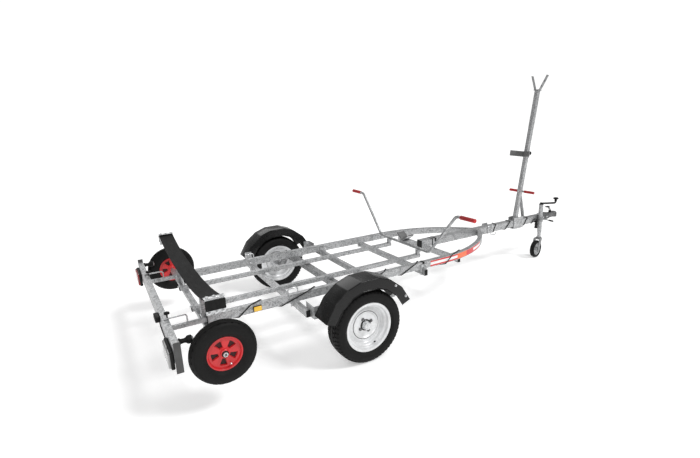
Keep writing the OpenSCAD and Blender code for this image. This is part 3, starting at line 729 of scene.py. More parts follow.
def pressed(depth):
    """Presses the selected faces inwards."""
    bpy.ops.mesh.extrude_region_shrink_fatten(TRANSFORM_OT_shrink_fatten={"value": -depth})


def sunk(piece, wanted, depth):
    """Presses the picked faces into the piece."""
    with editing(piece):
        pick(piece, "faces", wanted)
        pressed(depth)


BOLT_CIRCLE = 0.1
LAUNCH_TYRE = [
    (0.1066, 0.034), (0.112, 0.0385), (0.122, 0.043), (0.1235, 0.0448), (0.126, 0.0448),
    (0.1275, 0.0462), (0.14, 0.049), (0.152, 0.0497), (0.166, 0.0478), (0.176, 0.0445),
    (0.1775, 0.0455), (0.1805, 0.0445), (0.182, 0.0425), (0.187, 0.0385), (0.1905, 0.0345),
    (0.192, 0.03), (0.188, 0.0285), (0.188, 0.0255), (0.1945, 0.024), (0.1968, 0.016),
    (0.1925, 0.0148), (0.1925, 0.0118), (0.1985, 0.0106), (0.1998, 0.0035), (0.1955, 0.0025),
]
LAUNCH_RIM = [
    (0.0128, 0.036), (0.024, 0.036), (0.027, 0.033), (0.0285, 0.0205), (0.034, 0.0185),
    (0.04, 0.0185), (0.08, 0.0185), (0.088, 0.0185), (0.0925, 0.021), (0.095, 0.029),
    (0.0985, 0.033), (0.1055, 0.0335), (0.1062, 0.031), (0.103, 0.028), (0.103, -0.028),
    (0.1062, -0.031), (0.1055, -0.0335), (0.0985, -0.033), (0.095, -0.029),
    (0.0925, -0.014), (0.088, -0.0115), (0.08, -0.0115), (0.04, -0.0115),
    (0.034, -0.0115), (0.0285, -0.0135), (0.027, -0.031), (0.024, -0.033),
    (0.0128, -0.033),
]
ROAD_TYRE = [
    (0.1655, 0.06), (0.183, 0.0605), (0.185, 0.0655), (0.19, 0.071), (0.2, 0.0765),
    (0.203, 0.0785), (0.206, 0.078), (0.216, 0.08), (0.226, 0.0795), (0.238, 0.0765),
    (0.24, 0.0775), (0.243, 0.0765), (0.249, 0.0735), (0.257, 0.069), (0.262, 0.064),
    (0.2645, 0.057), (0.2655, 0.047), (0.259, 0.0455), (0.259, 0.04), (0.2665, 0.0385),
    (0.2675, 0.02), (0.26, 0.0185), (0.26, 0.013), (0.2678, 0.0115), (0.268, 0.002),
]
ROAD_RIM = [
    (0.033, 0.012), (0.042, 0.0128), (0.083, 0.012), (0.088, 0.013), (0.092, 0.018),
    (0.095, 0.02), (0.0985, 0.02), (0.101, 0.018), (0.1022, 0.011), (0.1058, 0.011),
    (0.1072, 0.016), (0.112, 0.017), (0.118, 0.013), (0.13, 0.0085), (0.1375, 0.007),
    (0.1398, 0.009), (0.1425, 0.026), (0.1455, 0.0345), (0.1485, 0.037), (0.156, 0.0385),
    (0.1592, 0.0415), (0.1606, 0.047), (0.1612, 0.056), (0.164, 0.0615), (0.17, 0.064),
    (0.178, 0.0656), (0.1812, 0.065), (0.1824, 0.0625), (0.1795, 0.0608), (0.1665, 0.0606),
    (0.1652, 0.059), (0.165, 0.04), (0.161, 0.0355), (0.153, 0.0335), (0.1495, 0.03),
    (0.144, 0.008), (0.144, -0.025), (0.148, -0.029), (0.165, -0.03),
    (0.1652, -0.059), (0.1665, -0.0606), (0.1795, -0.0608), (0.1824, -0.0625),
    (0.1812, -0.065), (0.17, -0.064), (0.162, -0.058), (0.1612, -0.034),
    (0.145, -0.033), (0.14, -0.028), (0.14, -0.002), (0.137, 0.0025),
    (0.129, 0.004), (0.117, 0.0085), (0.1072, 0.007), (0.101, 0.0065), (0.095, 0.015),
    (0.09, 0.0085), (0.083, 0.0075), (0.033, 0.0075),
]


def launch_tyre(name):
    """Tyre with fine ribs and a notched shoulder."""
    centre = middle("launch_tyre_left")
    steps = 90
    piece = turned(name, whole_profile(LAUNCH_TYRE), centre, steps=steps, closed=True)

    def notch(face):
        spot = face.calc_center_median()
        on_rib = 0.186 < radius_of(centre, spot) < 0.1925 and abs(spot.y - centre.y) > 0.0295
        return on_rib and sector_of(centre, spot, steps) % 3 == 0

    sunk(piece, notch, 0.003)
    return piece


def launch_rim(name):
    """Red moulded disc with fan-shaped recesses, their floors given a near-black red as painted shade."""
    centre = middle("launch_tyre_left")
    recesses = bpy.context.scene.trailer_wheels.recesses
    each = 18
    steps = each * recesses
    piece = turned(name, LAUNCH_RIM, centre, steps=steps, closed=True)
    piece.data.materials.append(FINISHES["red_plastic"])
    piece.data.materials.append(FINISHES["red_shadow"])

    def recess(face):
        spot = face.calc_center_median()
        flat = abs(face.normal.y) > 0.95 and 0.03 < radius_of(centre, spot) < 0.079
        return flat and 7 <= sector_of(centre, spot, steps) % each <= 15

    with editing(piece):
        pick(piece, "faces", recess)
        bpy.ops.mesh.inset(thickness=0.001, depth=0.0)
        pressed(0.012)
        bpy.ops.mesh.inset(thickness=0.0025, depth=0.0)
        # The recess floors take the near-black red as painted shade.
        piece.active_material_index = 1
        bpy.ops.object.material_slot_assign()
    return piece


def road_tyre(name):
    """Tyre with grooves, shoulder gaps and staggered cuts in its ribs."""
    centre = middle("road_tyre_left")
    steps = 3 * bpy.context.scene.trailer_wheels.tread_blocks
    piece = turned(name, whole_profile(ROAD_TYRE), centre, steps=steps, closed=True)

    def gap(face):
        spot = face.calc_center_median()
        out = abs(spot.y - centre.y)
        on_shoulder = radius_of(centre, spot) > 0.252 and 0.0465 < out < 0.072
        on_rib = radius_of(centre, spot) > 0.2655 and 0.019 < out < 0.039
        sector = sector_of(centre, spot, steps)
        return on_shoulder and sector % 3 == 0 or on_rib and sector % 3 == 1

    sunk(piece, gap, 0.0045)
    return piece


def road_rim(name):
    """Pressed steel rim with its dished disc."""
    return turned(name, ROAD_RIM, middle("road_tyre_left"), steps=96, closed=True)


def hub_ring(name):
    """Black ring in the disc's centre bore."""
    profile = [
        (0.033, 0.012), (0.0415, 0.012), (0.0415, 0.015), (0.0395, 0.0175),
        (0.035, 0.018), (0.033, 0.0165),
    ]
    return turned(name, profile, middle("road_tyre_left"), steps=48, closed=True)


def hub_cap(name):
    """Pressed dust cap over the bearing."""
    profile = [
        (0.0, 0.015), (0.0325, 0.015), (0.0325, 0.023), (0.03, 0.026), (0.0285, 0.03),
        (0.028, 0.042), (0.0255, 0.046), (0.018, 0.048), (0.0, 0.0485),
    ]
    return turned(name, profile, middle("road_tyre_left"), steps=48)


def hexagon(name, across, height, chamfer=0.0012):
    """Hexagon head standing on the origin, its top edge chamfered."""
    alone()
    bpy.ops.mesh.primitive_cylinder_add(
        vertices=6, radius=across / math.sqrt(3), depth=height, location=(0, 0, height / 2)
    )
    piece = settled(name)
    with editing(piece):
        pick(piece, "faces", lambda face: face.normal.z > 0.9)
        bpy.ops.mesh.bevel(offset=chamfer, segments=2, affect="EDGES")
    return piece


def bolt(name, size=0.01):
    """Washer, hexagon head and rounded bolt end, standing on the origin."""
    washer = turned(
        name + "_washer",
        [(0.0, 0.0), (size * 1.1, 0.0), (size * 1.1, 0.0016), (size * 1.02, 0.0022), (0.0, 0.0022)],
        Vector(), axis=UP, steps=20,
    )
    head = hexagon(name + "_head", size * 1.7, size * 0.62)
    head.data.transform(Matrix.Translation((0, 0, 0.002)))
    end = turned(
        name + "_end",
        [(0.0, 0.002), (size * 0.5, 0.002), (size * 0.5, size * 0.85), (size * 0.42, size * 0.95),
         (0.0, size * 0.95)],
        Vector(), axis=UP, steps=16,
    )
    return joined(name, [washer, head, end])


def bolted(name, spots, size=0.01):
    """One piece of many bolts, each at a point and facing a direction."""
    first = bolt(name + "_first", size)
    made = []
    for number, (point, direction) in enumerate(spots):
        made.append(copied(first, f"{name}_{number}", facing(point, direction)))
    bpy.data.objects.remove(first)
    return joined(name, made)


def wheel_bolts(name):
    """Four wheel bolts on their pitch circle."""
    centre = middle("road_tyre_left")
    spots = []
    for angle in range(25, 385, 90):
        spots.append((centre + around(angle) * BOLT_CIRCLE / 2 + ACROSS * 0.0122, ACROSS))
    return bolted(name, spots, 0.0115)


def tyre_valve(name, centre, reach, out):
    """Valve stem with its cap, leaning out of a rim."""
    radial = around(-68)
    foot = centre + radial * reach + ACROSS * out
    profile = [
        (0.0, 0.0), (0.0058, 0.0), (0.0058, 0.006), (0.0036, 0.009), (0.0034, 0.016),
        (0.0048, 0.0165), (0.0048, 0.026), (0.0036, 0.0275), (0.0, 0.0275),
    ]
    piece = turned(name, profile, Vector(), axis=UP, steps=16)
    piece.data.transform(facing(foot, ACROSS * 0.8 - radial * 0.6))
    return piece


class TRAILER_OT_road_wheels(PieceOperator, bpy.types.Operator):
    """Models the road tyres, rims, hubs, wheel bolts and valves"""

    bl_idname = "trailer.road_wheels"
    bl_label = "Road wheels"

    def execute(self, context):
        turns = "road_wheel"
        both_wheels("road_tread", road_tyre, turns, "tyre_rubber", "road_tyre", "road_rubber_{}")
        both_wheels("road_disc", road_rim, turns, "silver_paint", "road_rim", "rim_paint_{}")
        both_wheels("hub_ring", hub_ring, turns, "black_plastic")
        both_wheels("hub_cap", hub_cap, turns, "zinc_bright")
        both_wheels("wheel_bolts", wheel_bolts, turns, "cast_steel")
        centre = middle("road_tyre_left")
        both_wheels(
            "road_valve", lambda name: tyre_valve(name, centre, 0.15, 0.0345), turns,
            "black_rubber",
        )
        return {"FINISHED"}


class TRAILER_OT_launching_wheels(PieceOperator, bpy.types.Operator):
    """Models the launching tyres, their red discs, valves and axle nuts"""

    bl_idname = "trailer.launching_wheels"
    bl_label = "Launching wheels"

    def execute(self, context):
        turns = "launch_wheel"
        both_wheels(
            "launch_tread", launch_tyre, turns, "tyre_rubber", "launch_tyre", "launch_rubber_{}"
        )
        both_wheels("launch_disc", launch_rim, turns, "red_plastic", "launch_rim")
        centre = middle("launch_tyre_left")
        both_wheels(
            "launch_valve", lambda name: tyre_valve(name, centre, 0.088, 0.019), turns,
            "zinc_bright",
        )
        washer = turned(
            "axle_washer_left",
            [(0.0, 0.0362), (0.021, 0.0362), (0.021, 0.038), (0.0195, 0.0395), (0.0, 0.0395)],
            centre, steps=32,
        )
        nut = hexagon("axle_nut_left", 0.027, 0.009)
        nut.data.transform(facing(centre + ACROSS * 0.0395, ACROSS))
        stub = turned(
            "axle_stub_left",
            [(0.0, 0.04), (0.0085, 0.04), (0.0085, 0.05), (0.007, 0.0515), (0.0, 0.0515)],
            centre, steps=24,
        )
        for piece, slot in ((washer, "black_plastic"), (nut, "zinc_bright"), (stub, "cast_steel")):
            mirrored(piece, "trailer", slot)
        return {"FINISHED"}


# ---------------------------------------------------------------- mudguards and light board


GUARD_ANGLES = (22, 42, 62, 79, 101, 118, 138, 160)
GUARD_SIDE = 0.076
GUARD_IN = 0.002
LAMP_LENGTH = 0.22


def mudguard(name):
    """Moulded guard: flats over the tyre, deep side walls and a turned-out lip."""
    low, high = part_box("mudguard_left")
    wheel = middle("road_tyre_left")
    centre = Vector((wheel.x, 0.0, wheel.z))
    radius = (high.z - centre.z) / math.sin(math.radians(79))
    shrink = (radius - GUARD_SIDE) / radius
    sides = (low.y + GUARD_IN, high.y - GUARD_IN)
    start = centre + ACROSS * sides[0]
    piece = chain(name, [start + around(angle) * (radius - 0.001) for angle in GUARD_ANGLES])
    with editing(piece):
        extruded(ACROSS * (sides[1] - sides[0]))
        for side in sides:
            pick(piece, "edges", lambda edge: all(abs(v.co.y - side) < 0.0005 for v in edge.verts))
            bpy.ops.mesh.extrude_region_move()
            bpy.ops.transform.resize(
                value=(shrink, 1.0, shrink), center_override=(centre.x, side, centre.z)
            )

        def low_edge(edge):
            spots = [v.co for v in edge.verts]
            outer = all(abs(s.y - sides[1]) < 0.0005 for s in spots)
            return outer and all(radius_of(centre, s) < radius - 0.06 for s in spots)

        pick(piece, "edges", low_edge)
        extruded(ACROSS * 0.006)
        cleaned()
    rounded(piece, 0.01, 12)
    modified(piece, "SOLIDIFY", thickness=0.003, offset=-1.0)
    return piece


def guard_bolts(name):
    """Bright dome bolts along the outer side, and those that hold the guard to its stays."""
    low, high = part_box("mudguard_left")
    centre = middle("road_tyre_left")
    spots = []
    for angle in (30, 52):
        spot = centre + around(angle) * 0.345
        spots.append((Vector((spot.x, high.y - 0.0015, spot.z)), ACROSS))
    for x in (-0.325, -0.3, 0.312, 0.336):
        spots.append((at(x, low.y - 0.0055, 0.43), -ACROSS))
    return bolted(name, spots, 0.0085)


def tail_lamp(name):
    """Rubber-backed lamp body, open at the rear for its lenses."""
    low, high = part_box("tail_lamps")
    low = Vector((low.x + 0.012, high.y - LAMP_LENGTH, low.z))
    return block(name, low, high, 0.006, 3)


def lamp_lens(name, start, end):
    """One bulged lens between two distances along the lamp."""
    low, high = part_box("tail_lamps")
    inner = high.y - LAMP_LENGTH
    return block(
        name, (low.x, inner + start, low.z + 0.005), (low.x + 0.03, inner + end, high.z - 0.005), 0.009, 4
    )


class TRAILER_OT_mudguards(PieceOperator, bpy.types.Operator):
    """Models the mudguards and their bolts"""

    bl_idname = "trailer.mudguards"
    bl_label = "Mudguards"

    def execute(self, context):
        mirrored(mudguard("guard_left"), "trailer", "black_gloss", ["mudguard_left"])
        mirrored(guard_bolts("guard_bolts_left"), "trailer", "zinc_bright")
        return {"FINISHED"}


class TRAILER_OT_light_board(PieceOperator, bpy.types.Operator):
    """Models the lamps, their lead, the clamp knobs and the hoops of the light board"""

    bl_idname = "trailer.light_board"
    bl_label = "Light board"

    def execute(self, context):
        body = "light_bar"
        parts = {
            "lamp_body": (tail_lamp, "black_plastic"),
            "stop_lens": (lambda name: lamp_lens(name, 0.008, 0.128), "red_lens"),
            "turn_lens": (lambda name: lamp_lens(name, 0.131, 0.212), "red_lens"),
        }
        for kind, (make, slot) in parts.items():
            left = make(kind + "_left")
            right = copied(left, kind + "_right", MIRROR_Y)
            node = ["tail_lamps"] if kind == "lamp_body" else []
            done(left, body, slot, node)
            done(right, body, slot, node, "clear_lens" if kind.endswith("lens") else slot)
        low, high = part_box("number_plate_lamp")
        housing = block("plate_lamp", low, high, 0.007, 3)
        done(housing, body, "black_plastic", ["number_plate_lamp"])
        window = block(
            "plate_lamp_window", (low.x + 0.006, low.y + 0.012, low.z - 0.002),
            (high.x - 0.006, high.y - 0.012, low.z + 0.006), 0.0015,
        )
        done(window, body, None, finish="clear_lens")
        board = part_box("light_board")
        rear, top = board[0].x, board[1].z
        lead = pipe(
            "board_lead",
            [(rear - 0.004, -0.372, low.z + 0.002), (rear - 0.004, -0.372, top - 0.08),
             (rear - 0.004, -0.655, top - 0.093), (rear - 0.004, -0.7, top - 0.07)],
            0.0032, 0.015, 10,
        )
        done(lead, body, "cable")
        self.hoops(body)
        self.end_lamps(body)
        return {"FINISHED"}

    def hoops(self, body):
        """Bent rods on the slide tubes, and the knobs that clamp the tubes."""
        low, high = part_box("board_hoops")
        y = middle("light_slides").y + high.y - 0.005
        top = high.z - 0.005
        hoop = pipe(
            "board_hoop_left",
            [(low.x + 0.001, y, top), (high.x - 0.005, y, top), (high.x - 0.005, y, low.z)], 0.005, 0.016,
        )
        knob = self.star_knob("board_knob_left", Vector((high.x - 0.118, y - 0.028, top + 0.004)))
        mirrored(hoop, body, "zinc_bright", ["board_hoops"])
        mirrored(knob, body, "black_plastic")

    def star_knob(self, name, foot):
        """Five-lobed hand knob on a short stem."""
        profile = [
            (0.0, -0.01), (0.0045, -0.01), (0.0045, 0.012), (0.012, 0.014), (0.0175, 0.017),
            (0.0185, 0.022), (0.0165, 0.028), (0.009, 0.031), (0.0, 0.0315),
        ]
        piece = turned(name, profile, foot, axis=UP, steps=40)
        with editing(piece):
            def lobe(vert):
                turn = math.atan2(vert.co.y - foot.y, vert.co.x - foot.x)
                wide = math.hypot(vert.co.x - foot.x, vert.co.y - foot.y) > 0.011
                return wide and math.cos(5 * turn) < -0.3

            pick(piece, "verts", lobe)
            bpy.ops.transform.resize(value=(0.76, 0.76, 1.0), center_override=foot)
        return piece

    def end_lamps(self, body):
        """End panels, and the moulded arms that carry lamps forward of the board."""
        low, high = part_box("lamp_brackets")
        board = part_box("light_board")
        panel = block(
            "end_panel_left", (low.x, high.y - 0.004, low.z), (board[1].x, high.y, high.z), 0.0014
        )
        centre = Vector((board[1].x, high.y - 0.077, high.z - 0.036))
        reach = high.x - board[1].x
        arm = turned(
            "lamp_arm_left",
            [(0.0, 0.0004), (0.02, 0.0004), (0.0205, 0.006), (0.015, 0.012), (0.0135, 0.03),
             (0.016, 0.04), (0.0235, 0.048), (0.025, 0.056), (0.025, reach - 0.01),
             (0.0235, reach - 0.004), (0.0205, reach - 0.003), (0.02, reach - 0.008),
             (0.0, reach - 0.008)],
            centre, axis=AHEAD, steps=40,
        )
        glass = turned(
            "end_lamp_lens_left",
            [(0.0, reach - 0.0075), (0.0195, reach - 0.0075), (0.019, reach - 0.001),
             (0.014, reach + 0.004), (0.007, reach + 0.006), (0.0, reach + 0.0065)],
            centre, axis=AHEAD, steps=36,
        )
        parts = ((panel, "grey_plastic", ["lamp_brackets"]), (arm, "black_rubber", ["lamp_brackets"]),
                 (glass, "clear_lens", []))
        for piece, finish, nodes in parts:
            mirrored(piece, body, "black_plastic", nodes, finish)


# ---------------------------------------------------------------- launching trolley


TROLLEY_Y = 0.226
TROLLEY_TOP = 0.4422


def sling_height(y):
    """Height of the belt's underside: flat in the middle, steeper towards the uprights."""
    return 0.64 + 0.082 * (abs(y) / 0.862) ** 2.6


def sling_belt(name):
    """Belt hung between the uprights, its long edges a little lifted."""
    low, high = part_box("cradle_belt")
    steps = 72
    edge = high.y - 0.0005
    ys = [-edge + 2 * edge * number / steps for number in range(steps + 1)]
    piece = chain(name, [Vector((low.x, y, sling_height(y) + 0.0005)) for y in ys])
    with editing(piece):
        width = high.x - low.x - 0.001
        for share, lift in ((0.06, -0.001), (0.24, -0.0008), (0.4, 0.0), (0.24, 0.0008), (0.06, 0.001)):
            extruded((width * share, 0.0, lift * 0.8))
        cleaned()
        mesh = bmesh.from_edit_mesh(piece.data)
        if sum(face.normal.z for face in mesh.faces) < 0:
            bpy.ops.mesh.flip_normals()
    modified(piece, "SOLIDIFY", thickness=0.007, offset=1.0)
    rounded(piece, 0.0022, 50)
    return piece


def grip(name, start, axis, length, radius, bore, rings=14):
    """Ribbed hand grip with a flange and a domed end."""
    profile = [(bore, 0.0), (radius, 0.0), (radius, 0.005), (radius - 0.0016, 0.0065)]
    pitch = (length - 0.022) / rings
    for number in range(rings):
        here = 0.009 + pitch * number
        profile += [
            (radius - 0.0016, here), (radius - 0.0004, here + pitch * 0.25),
            (radius - 0.0004, here + pitch * 0.6), (radius - 0.0016, here + pitch * 0.8),
        ]
    profile += [
        (radius - 0.001, length - 0.012), (radius, length - 0.009), (radius, length - 0.004),
        (radius - 0.004, length), (0.0, length), (0.0, length - 0.002), (bore, length - 0.002),
    ]
    return turned(name, profile, start, axis=axis, steps=24, closed=True)


class TRAILER_OT_trolley(PieceOperator, bpy.types.Operator):
    """Models the sling belt, the handlebar with its grips, and the trolley's bolts"""

    bl_idname = "trailer.trolley"
    bl_label = "Launching trolley"

    def execute(self, context):
        belt = sling_belt("sling_belt")
        done(belt, "trailer", "belt_rubber", ["cradle_belt"])
        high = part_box("trolley_handlebar")[1]
        radius = 0.013
        x = high.x - radius
        foot, top = 0.491, high.z - radius
        end = high.y
        bar = pipe(
            "trolley_bar",
            [(x, -end, top), (x, -0.702, top), (x, -0.372, foot), (x, 0.372, foot), (x, 0.702, top),
             (x, end, top)],
            radius, context.scene.trailer_fittings.bend, 20,
        )
        feet = []
        for side in (-1, 1):
            y = side * middle("trolley_rails").y + side * TROLLEY_Y
            low = (x - 0.026, y - 0.015, TROLLEY_TOP)
            feet.append(block(f"bar_foot_{side}", low, (x + 0.004, y + 0.015, foot - 0.004), 0.003))
        done(joined("trolley_bar", [bar] + feet), "trailer", "zinc", ["trolley_handlebar"])
        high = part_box("trolley_grips")[1]
        grip_left = grip(
            "trolley_grip_left", Vector((x, high.y - 0.154, top)), ACROSS, 0.154, 0.0172, radius + 0.0002
        )
        mirrored(grip_left, "trailer", "red_grip", ["trolley_grips"])
        self.belt_ends()
        self.bolts()
        return {"FINISHED"}

    def belt_ends(self):
        """Clamp bars over the belt's ends, and the belt folded down outside the end plates."""
        low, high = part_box("belt_clamps")
        bar = block("clamp_bar_left", (low.x, high.y - 0.034, high.z - 0.005), high, 0.002)
        plate = block(
            "clamp_plate_left", (low.x + 0.004, high.y - 0.0048, low.z),
            (high.x - 0.004, high.y, high.z - 0.004), 0.0015,
        )
        bars = joined("clamp_bars_left", [bar, plate])
        fold = block(
            "belt_fold_left", (low.x + 0.001, high.y + 0.0002, low.z + 0.026),
            (high.x - 0.001, high.y + 0.011, high.z - 0.012), 0.0052, 5,
        )
        mirrored(bars, "trailer", "zinc_bright", ["belt_clamps"])
        mirrored(fold, "trailer", "belt_rubber")

    def bolts(self):
        """Bolts of the belt ends, the axle beam and the rails."""
        spots = []
        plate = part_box("belt_clamps")
        for side in (-1, 1):
            out = ACROSS * side
            for x in (-1.052, -1.011, -0.97):
                spots.append((at(x, side * plate[1].y, 0.643), out))
                spots.append((at(x, side * (plate[1].y - 0.017), plate[1].z), UP))
            for x in (-1.045, -0.975):
                spots.append((at(x, side * TROLLEY_Y, TROLLEY_TOP), UP))
            spots.append((at(-1.0195, side * 0.435, 0.46), -AHEAD))
            spots.append((at(0.936, side * TROLLEY_Y, TROLLEY_TOP), UP))
            spots.append((at(0.9995, side * TROLLEY_Y, 0.4665), AHEAD))
        done(bolted("trolley_bolts", spots, 0.0095), "trailer", "zinc_bright")


# ---------------------------------------------------------------- frame fittings


RAIL_BEND_X = 1.056
RAIL_BEND_R = 1.145
RAIL_OUT_Y = 0.507
RAIL_Y = 0.487
RAIL_Z = 0.442
RAIL_TOP = 0.4722
RAIL_HALF = (0.02, 0.03)
BAR_HALF = (0.035, 0.035)
BAR_Z = 0.447
LOOM_R = 0.0042
LOOM_GAP = 0.0043


def rail_point(along, out, height):
    """Point beside the right side rail, measured from the middle of its section."""
    radius = RAIL_BEND_R - RAIL_HALF[0]
    turn = max(0.0, along - RAIL_BEND_X) / radius
    reach = radius + out
    y = -(RAIL_OUT_Y - RAIL_BEND_R) - reach * math.cos(turn)
    return at(min(along, RAIL_BEND_X) + reach * math.sin(turn), y, RAIL_Z + height)


def round_corner(edge, half_width, half_height):
    """Two points where the loom rounds one edge of a bar."""
    near, far = LOOM_GAP, LOOM_GAP * 0.41
    return (
        ((half_width + far, -half_height - near), (half_width + near, -half_height - far)),
        ((half_width + near, half_height + far), (half_width + far, half_height + near)),
        ((-half_width - far, half_height + near), (-half_width - near, half_height + far)),
        ((-half_width - near, -half_height - far), (-half_width - far, -half_height - near)),
    )[edge]


RAIL_TURNS = (
    (-0.79, -0.705, -0.62, -0.54), (-0.48, -0.27, -0.2, -0.14), (-0.06, 0.06, 0.13, 0.2),
    (0.26, 0.4, 0.45, 0.51), (0.58, 0.725, 0.78, 0.86), (1.06, 1.14, 1.29, 1.45),
)
BAR_TURNS = (
    (2.175, 2.215, 2.245, 2.28), (2.365, 2.445, 2.46, 2.484), (2.674, 2.73, 2.76, 2.79),
)


def loom_route():
    """The clipped wiring, spiralled round the right rail and then round the drawbar."""
    route = [rail_point(-0.86, -0.01, -0.0343)]
    for turn in RAIL_TURNS:
        for edge, along in enumerate(turn):
            for half, (out, height) in zip((-0.003, 0.003), round_corner(edge, *RAIL_HALF)):
                route.append(rail_point(along + half, out, height))
    route += [rail_point(along, -0.008, -0.0343) for along in (1.58, 1.73, 1.88, 2.03)]
    route += [at(along, -0.022, 0.4077) for along in (2.02, 2.085, 2.15)]
    for turn in BAR_TURNS:
        for edge, along in enumerate(turn):
            for half, (out, height) in zip((-0.003, 0.003), round_corner(edge, *BAR_HALF)):
                route.append(at(along + half, -out, BAR_Z + height))
    route += [at(2.812, -0.0368, 0.4077), at(2.816, -0.0393, 0.413), at(2.838, -0.041, 0.446)]
    route += [at(2.855, -0.05, 0.461), at(2.868, -0.057, 0.456), at(2.87, -0.058, 0.437)]
    return route


def wiring(name):
    """Smooth tube along the loom's route."""
    points = loom_route()
    curve = bpy.data.curves.new(name, "CURVE")
    curve.dimensions = "3D"
    line = curve.splines.new("POLY")
    line.points.add(len(points) - 1)
    for target, point in zip(line.points, points):
        target.co = (*point, 1.0)
    curve.bevel_depth = LOOM_R
    curve.bevel_resolution = 2
    curve.use_fill_caps = True
    piece = bpy.data.objects.new(name, curve)
    bpy.context.scene.collection.objects.link(piece)
    alone(piece)
    bpy.ops.object.convert(target="MESH")
    piece = bpy.context.object
    with editing(piece):
        cleaned()
    return piece


def marking_tape(name, start, end):
    """Tape along the outside of the curved rail, with its own map along and up."""
    low, high = 0.4175, 0.4665
    steps = 56
    out = 0.0206
    runs = [start + (end - start) * number / steps for number in range(steps + 1)]
    places = [rail_point(run, out, low - RAIL_Z) for run in runs]
    piece = chain(name, places)
    with editing(piece):
        extruded(UP * (high - low))
        cleaned()
        mesh = bmesh.from_edit_mesh(piece.data)
        if sum(face.normal.y for face in mesh.faces) > 0:
            bpy.ops.mesh.flip_normals()
    modified(piece, "SOLIDIFY", thickness=0.0004, offset=0.0)
    layer = piece.data.uv_layers.active
    for corner in piece.data.loops:
        spot = piece.data.vertices[corner.vertex_index].co
        nearest = min(range(steps + 1), key=lambda number: (places[number] - spot).xy.length_squared)
        along = nearest / steps
        layer.data[corner.index].uv = (along, (spot.z - low) / (high - low))
    return piece


def strap(name, low, high, gap=0.0004, thick=0.0022):
    """Closed band round a bar, from a block whose two ends are taken away."""
    loose = Vector((0, gap, gap))
    cube(low - loose, high + loose)
    piece = settled(name)
    with editing(piece):
        pick(piece, "faces", lambda face: abs(face.normal.x) > 0.9)
        bpy.ops.mesh.delete(type="FACE")
    modified(piece, "SOLIDIFY", thickness=thick, offset=1.0)
    rounded(piece, 0.0008, 40, 2)
    return piece


class TRAILER_OT_fittings(PieceOperator, bpy.types.Operator):
    """Models the wiring, marking tape, straps, side markers, lashing hoops and frame bolts"""

    bl_idname = "trailer.fittings"
    bl_label = "Frame fittings"

    def execute(self, context):
        settings = context.scene.trailer_fittings
        done(wiring("wiring"), "trailer", "cable", ["wiring_loom"])
        tape = marking_tape("marking_tape_right", settings.tape_start, settings.tape_end)
        mirrored(tape, "trailer", "red_plastic", finish="tape")
        self.straps()
        self.markers()
        hoop = pipe(
            "lashing_hoop_left",
            [at(-0.42, RAIL_Y, RAIL_TOP), at(-0.42, RAIL_Y, 0.514), at(-0.345, RAIL_Y, 0.514),
             at(-0.345, RAIL_Y, RAIL_TOP)],
            0.005, 0.014,
        )
        mirrored(hoop, "trailer", "zinc_bright", ["lashing_hoops"])
        self.brackets()
        return {"FINISHED"}

    def straps(self):
        """Black bands that hold the wiring to the rail and the drawbar."""
        bands = [
            strap("rail_strap", at(0.8, -0.507, 0.412), at(0.822, -0.467, 0.472)),
            strap("bar_strap_rear", at(1.313, -0.035, 0.412), at(1.325, 0.035, 0.482)),
            strap("bar_strap_front", at(1.35, -0.035, 0.412), at(1.366, 0.035, 0.482)),
        ]
        done(joined("straps", bands), "trailer", "black_rubber")

    def markers(self):
        """Amber side markers on their black bases."""
        low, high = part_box("side_markers")
        base = block(
            "marker_base_left", (low.x, high.y - 0.016, low.z), (high.x, high.y - 0.01, high.z), 0.002
        )
        glass = block(
            "marker_lens_left", (low.x + 0.003, high.y - 0.0105, low.z + 0.003),
            (high.x - 0.003, high.y, high.z - 0.003), 0.004, 4,
        )
        mirrored(base, "trailer", "black_plastic")
        mirrored(glass, "trailer", "amber_lens", ["side_markers"])

    def brackets(self):
        """Plates that hold the rails to the beams, and every bolt of the frame."""
        plates, spots = [], []
        for x, inside in ((-0.362, True), (0.35, True), (0.812, False)):
            y = 0.4665 if inside else 0.5075
            out = -1.0 if inside else 1.0
            low, high = sorted((y, y + out * 0.005))
            plates.append(block(f"plate_{x}", at(x - 0.034, low, 0.364), at(x + 0.034, high, 0.456)))
            for dx in (-0.021, 0.021):
                spots.append((at(x + dx, y + out * 0.0052, 0.44), ACROSS * out))
            spots.append((at(x, y + out * 0.0052, 0.387), ACROSS * out))
        for x in (-0.38, 0.332):
            spots.append((at(x + 0.003, 0.56, 0.39), -AHEAD))
        for dx in (-0.05, 0.05):
            spots.append((at(0.068 + dx, RAIL_Y, 0.4022), -UP))
        mirrored(joined("rail_plates_left", plates), "trailer", "zinc")
        both = spots + [(MIRROR_Y @ point, MIRROR_Y @ direction) for point, direction in spots]
        for side in (-1, 1):
            for x, z in ((2.098, 0.428), (2.148, 0.428), (2.098, 0.484), (2.148, 0.484)):
                both.append((at(x, side * 0.0412, z), ACROSS * side))
            for x in (2.522, 2.638):
                both.append((at(x, side * 0.0415, 0.462), ACROSS * side))
            for x in (3.01, 3.075):
                both.append((at(x, side * 0.0402, 0.45), ACROSS * side))
        done(bolted("frame_bolts", both, 0.0095), "trailer", "zinc_bright")


# ---------------------------------------------------------------- front end


